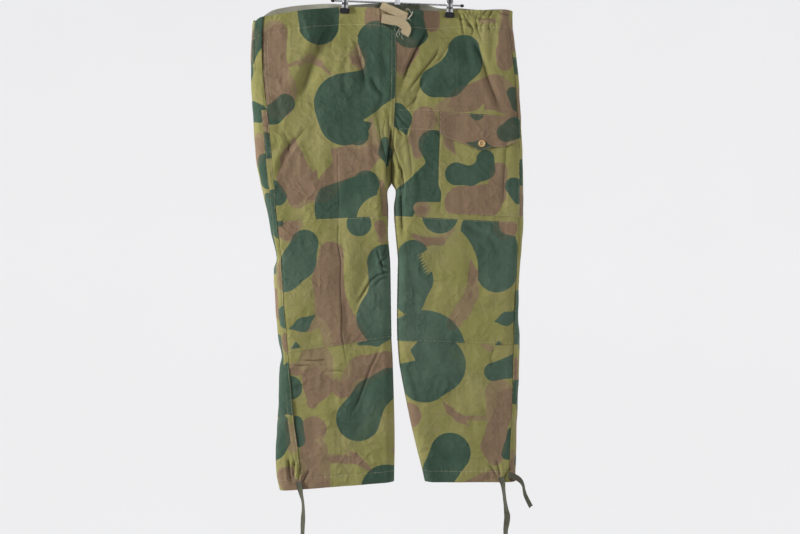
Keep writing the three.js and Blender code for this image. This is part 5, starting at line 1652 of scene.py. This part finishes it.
def centre_seam():
    """The doubled edge of the fly, on the wearer's right, sewn twice."""
    levels = fine_steps(WAIST + CASING, CENTRE_SEAM_END, STRIP_PITCH)
    line = LegLines("right", levels)
    t = (0.4 + 10.8 * STRIP_ACROSS) / (line.end - line.seam)
    level = np.broadcast_to(levels, t.shape)
    sewn_on("centre_seam_cloth", "right", t, level, FELL_TOP, 0.8, "front_right",
            ["centre_seam_front"])
    return border_lines("right", t, level, FELL_TOP, ("inner", "outer"), seam=1.6)


def knee_tack(leg, x_from, x_to, drop, height):
    """A small folded triangle of the patch's cloth, bartacked over the lower edge."""
    left, level = front_place(leg, x_from, drop)
    right, _ = front_place(leg, x_to, drop)
    u, v = np.meshgrid(np.linspace(0, 1, 13), np.linspace(0, 1, 11), indexing="ij")
    t = left + (right - left) * (0.5 + (u - 0.5) * (1 - 0.88 * v))
    rows = level - height * v
    rim = np.minimum(np.minimum(u, 1 - u), np.minimum(v, 1 - v))
    lift = PATCH_TOP + 0.6 + 1.1 * np.minimum(rim * 7, 1)
    place = cloth(leg, "front", t, rows, lift)
    inner = place["point"] - place["normal"] * 0.55
    flip = (leg == "right") != (right < left)
    piece = shell(f"knee_tack_{leg}_cloth", place["point"], inner, not flip, FINISHES,
                  print_layers("tack", place))
    stand_for(piece, "camouflage_cotton", f"knee_tack_{leg}")


def pocket_button():
    """A dished four-hole button on the point of the flap, with its crossed thread."""
    share, level = front_place("left", BUTTON["x"], BUTTON["drop"])
    seat = cloth("left", "front", share, level, FLAP_TOP + 0.3)
    centre, out = seat["point"].reshape(3), seat["normal"].reshape(3)
    side = np.array([1.0, 0, 0]) - out * out[0]
    side /= np.linalg.norm(side)
    up = np.cross(side, out)
    around = 40
    points, rings, faces = [], [], []
    for radius, height in BUTTON_PROFILE:
        ring = circle(centre + out * height, side, up, radius, around if radius else 1)
        rings.append(range(len(points), len(points) + len(ring)))
        points += ring
    for a, b in zip(rings, rings[1:]):
        for k in range(around):
            corners = ((a, k), (b, k), (b, k + 1), (a, k + 1))
            faces.append(tuple(dict.fromkeys(ring[i % len(ring)] for ring, i in corners)))
    away = np.array(points) - centre
    away -= np.outer(away @ out, out)
    disc = new_object("pocket_button_horn", points, faces, [HORN], sharp=60, attributes={
        "dish": np.linalg.norm(away, axis=1) / BUTTON["rim"]})
    drills = []
    for right, above in ((1, 1), (-1, 1), (-1, -1), (1, -1)):
        middle = centre + (side * right + up * above) * BUTTON["hole_out"]
        bore = [place for height in (-2, 5)
                for place in circle(middle + out * height, side, up, BUTTON["hole"], 14)]
        drills.append(new_object("drill", bore, tube_faces(2, 14), [HORN]))
        cut = disc.modifiers.new("hole", "BOOLEAN")
        cut.operation, cut.object, cut.solver = "DIFFERENCE", drills[-1], "EXACT"
    bpy.context.view_layer.update()
    shaped = bpy.data.meshes.new_from_object(
        disc.evaluated_get(bpy.context.evaluated_depsgraph_get()))
    disc.modifiers.clear()
    disc.data = shaped
    for drill in drills:
        bpy.data.objects.remove(drill)
    stand_for(disc, "horn_button", "pocket_button")
    strands, faces = [], []
    for right in (1, -1):
        reach = (side * right + up) * BUTTON["hole_out"]
        across = np.cross(-reach, out)
        across /= np.linalg.norm(across)
        for offset in (-0.3, 0, 0.3):
            faces += tube_faces(12, STRAND_SIDES, len(strands), flip=True)
            for share in np.linspace(0, 1, 12):
                place = (centre + reach * (1 - 2 * share) + across * offset
                         + out * (1.25 + 0.25 * math.sin(share * math.pi)))
                strands += circle(place, across, out, BUTTON["thread"], STRAND_SIDES)
    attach(new_object("pocket_button_thread", strands, faces, [THREAD_TAN]), "root")


for leg in ("right", "left"):
    panel(leg, "front", FRONT_PITCH)
    panel(leg, "back", BACK_PITCH)

layer_lines = []
for leg in ("right", "left"):
    layer_lines += knee_patch(leg) + felled_seam(leg)
layer_lines += thigh_pocket() + pocket_flap() + centre_seam()
slit_strip()
for leg, tack_size in TACKS.items():
    knee_tack(leg, *tack_size)
pocket_button()
sew("stitches_on_layers", layer_lines, THREAD_OLIVE)


def whole_line(leg, face, level):
    t = np.linspace(0.004, 0.996, 400)
    return thread_line(cloth(leg, face, t, np.full(400, float(level)), 0.05))


seam_lines = []
for leg in ("right", "left"):
    for face in ("front", "back"):
        for level in (WAIST + CASING, HEM - HEM_CASING):
            seam_lines.append(whole_line(leg, face, level))
for row in (340, 383):
    seam_lines.append(front_line("left", through("left", (0, row), (45, row), (90, row + 2))))
for inward in (5, 11):
    seam_lines.append(front_line("right", [(1 - inward / 280, level)
                                           for level in range(166, 332, 20)]))
sew("stitches_on_panels", seam_lines, THREAD_OLIVE)


# ------------------------------------------------------------------ hanger
JAW = [(7.1, -26.7), (7.1, -11), (4.9, -4), (4.9, 4), (11, 14), (15.5, 25)]
JAW_PLATE = 1.4
JAW_WIDTH = 14
CHANNEL_EDGE = (-0.26, -0.45)
RIBS = [  # across the plate, and how far its outer face is pressed out
    (-1.0, 0.0), (-0.93, 0.55), (-0.8, 0.85), (-0.62, 0.75), (-0.34, 0.5), CHANNEL_EDGE,
    (0.26, -0.45), (0.34, 0.5), (0.62, 0.75), (0.8, 0.85), (0.93, 0.55), (1.0, 0.0)]


def hanger_place(x, y, z):
    """A place on the hanger, which hangs a little to one side."""
    return (x * math.cos(HANGER_TILT) + z * math.sin(HANGER_TILT), y,
            z * math.cos(HANGER_TILT) - x * math.sin(HANGER_TILT))


def clip_arm(clip, face):
    """A jaw of a clip: a bent plate pressed with a rib along each side."""
    side = {"front": -1, "back": 1}[face]
    middle = {"right": -1, "left": 1}[clip] * 0.5 * CLIP_SPREAD
    bends = np.array(JAW, float)
    lengths = lengths_along(bends)
    at = np.linspace(0, lengths[-1], 46)
    spread = np.linspace(-2.2, 2.2, 9)
    line = np.stack([np.mean([np.interp(np.clip(at + s, 0, lengths[-1]), lengths, bends[:, i])
                              for s in spread], axis=0) for i in range(2)], axis=1)
    along = np.gradient(line, axis=0)
    along /= np.linalg.norm(along, axis=1, keepdims=True)
    out = np.stack([along[:, 1], -along[:, 0]], axis=1)
    grid_outer, grid_inner = [], []
    for share, rib in RIBS:
        outer_row, inner_row = [], []
        for i, (place, away) in enumerate(zip(line, out)):
            end = min(i, len(line) - 1 - i)
            round_off = 1 - 0.22 * max(0, 1 - end / 4)**2
            fade = min(1, end / 3)
            x = middle + 0.5 * JAW_WIDTH * share * round_off
            near, far = place, place + away * (JAW_PLATE + rib * fade)
            outer_row.append(hanger_place(x, side * far[0], far[1] - ROD_DROP))
            inner_row.append(hanger_place(x, side * near[0], near[1] - ROD_DROP))
        grid_outer.append(outer_row)
        grid_inner.append(inner_row)
    piece = shell(f"clip_{clip}_{face}_plate", np.array(grid_outer), np.array(grid_inner),
                  side < 0, [CHROME, CHROME], {})
    finish = np.array([polygon.material_index for polygon in piece.data.polygons])
    channel = RIBS.index(CHANNEL_EDGE)
    rows = len(line) - 1
    # painted shade: the channel's faces take a dark steel
    finish[channel * rows + 4:(channel + 1) * rows - 4] = 2
    piece.data.materials.append(PAINTED_CHANNEL_SHADE)
    piece.data.polygons.foreach_set("material_index", finish.astype(np.int32))
    stand_for(piece, "chrome_wire", f"clip_{clip}_{face}_arm")


# The rubber boot on each jaw: its size, and rings of depth and how far they draw in.
BOOT = {"half_width": 11, "top": -16.8, "low": -29.2}
BOOT_RINGS = [(3.8, 1.3), (4.0, 0.5), (4.6, 0.0), (8.9, 0.0), (9.7, 0.4), (10.1, 1.3),
              (10.2, 2.6)]


def rubber_boot(clip, face):
    """The black rubber pad moulded round the end of a jaw."""
    side = {"front": -1, "back": 1}[face]
    middle = {"right": -1, "left": 1}[clip] * 0.5 * CLIP_SPREAD
    half_height = 0.5 * (BOOT["top"] - BOOT["low"])
    centre = 0.5 * (BOOT["top"] + BOOT["low"])
    around = 48
    points = []
    for depth, inset in BOOT_RINGS:
        for angle in 2 * math.pi * (np.arange(around) + 0.5) / around:
            cos, sin = math.cos(angle), math.sin(angle)
            x = (BOOT["half_width"] - inset) * math.copysign(abs(cos)**0.42, cos)
            z = (half_height - inset) * math.copysign(abs(sin)**0.5, sin)
            points.append(hanger_place(middle + x, side * depth, centre + z - ROD_DROP))
    piece = new_object(f"clip_{clip}_{face}_boot", points,
                       tube_faces(len(BOOT_RINGS), around, flip=side > 0), [RUBBER], sharp=60)
    stand_for(piece, "black_rubber", f"clip_{clip}_{face}_pad")


# Painted shade: a dark steel for the channel down the middle of each jaw, standing in for the
# shade in it.
PAINTED_CHANNEL_SHADE = metal("shadowed steel", colour(0.16, 0.16, 0.17), 0.38, colour(0.07, 0.07, 0.07))


def finish_hanger():
    for clip in ("right", "left"):
        for face in ("front", "back"):
            clip_arm(clip, face)
            rubber_boot(clip, face)
    steel = ["hanger_hook", "hanger_rod", "hanger_collar", "clip_right_spring",
             "clip_left_spring"]
    black = ["rod_cap_right", "rod_cap_left"]
    for names, material in ((steel, CHROME), (black, RUBBER)):
        for name in names:
            for place in bpy.data.objects[name].material_slots:
                place.material = material


finish_hanger()
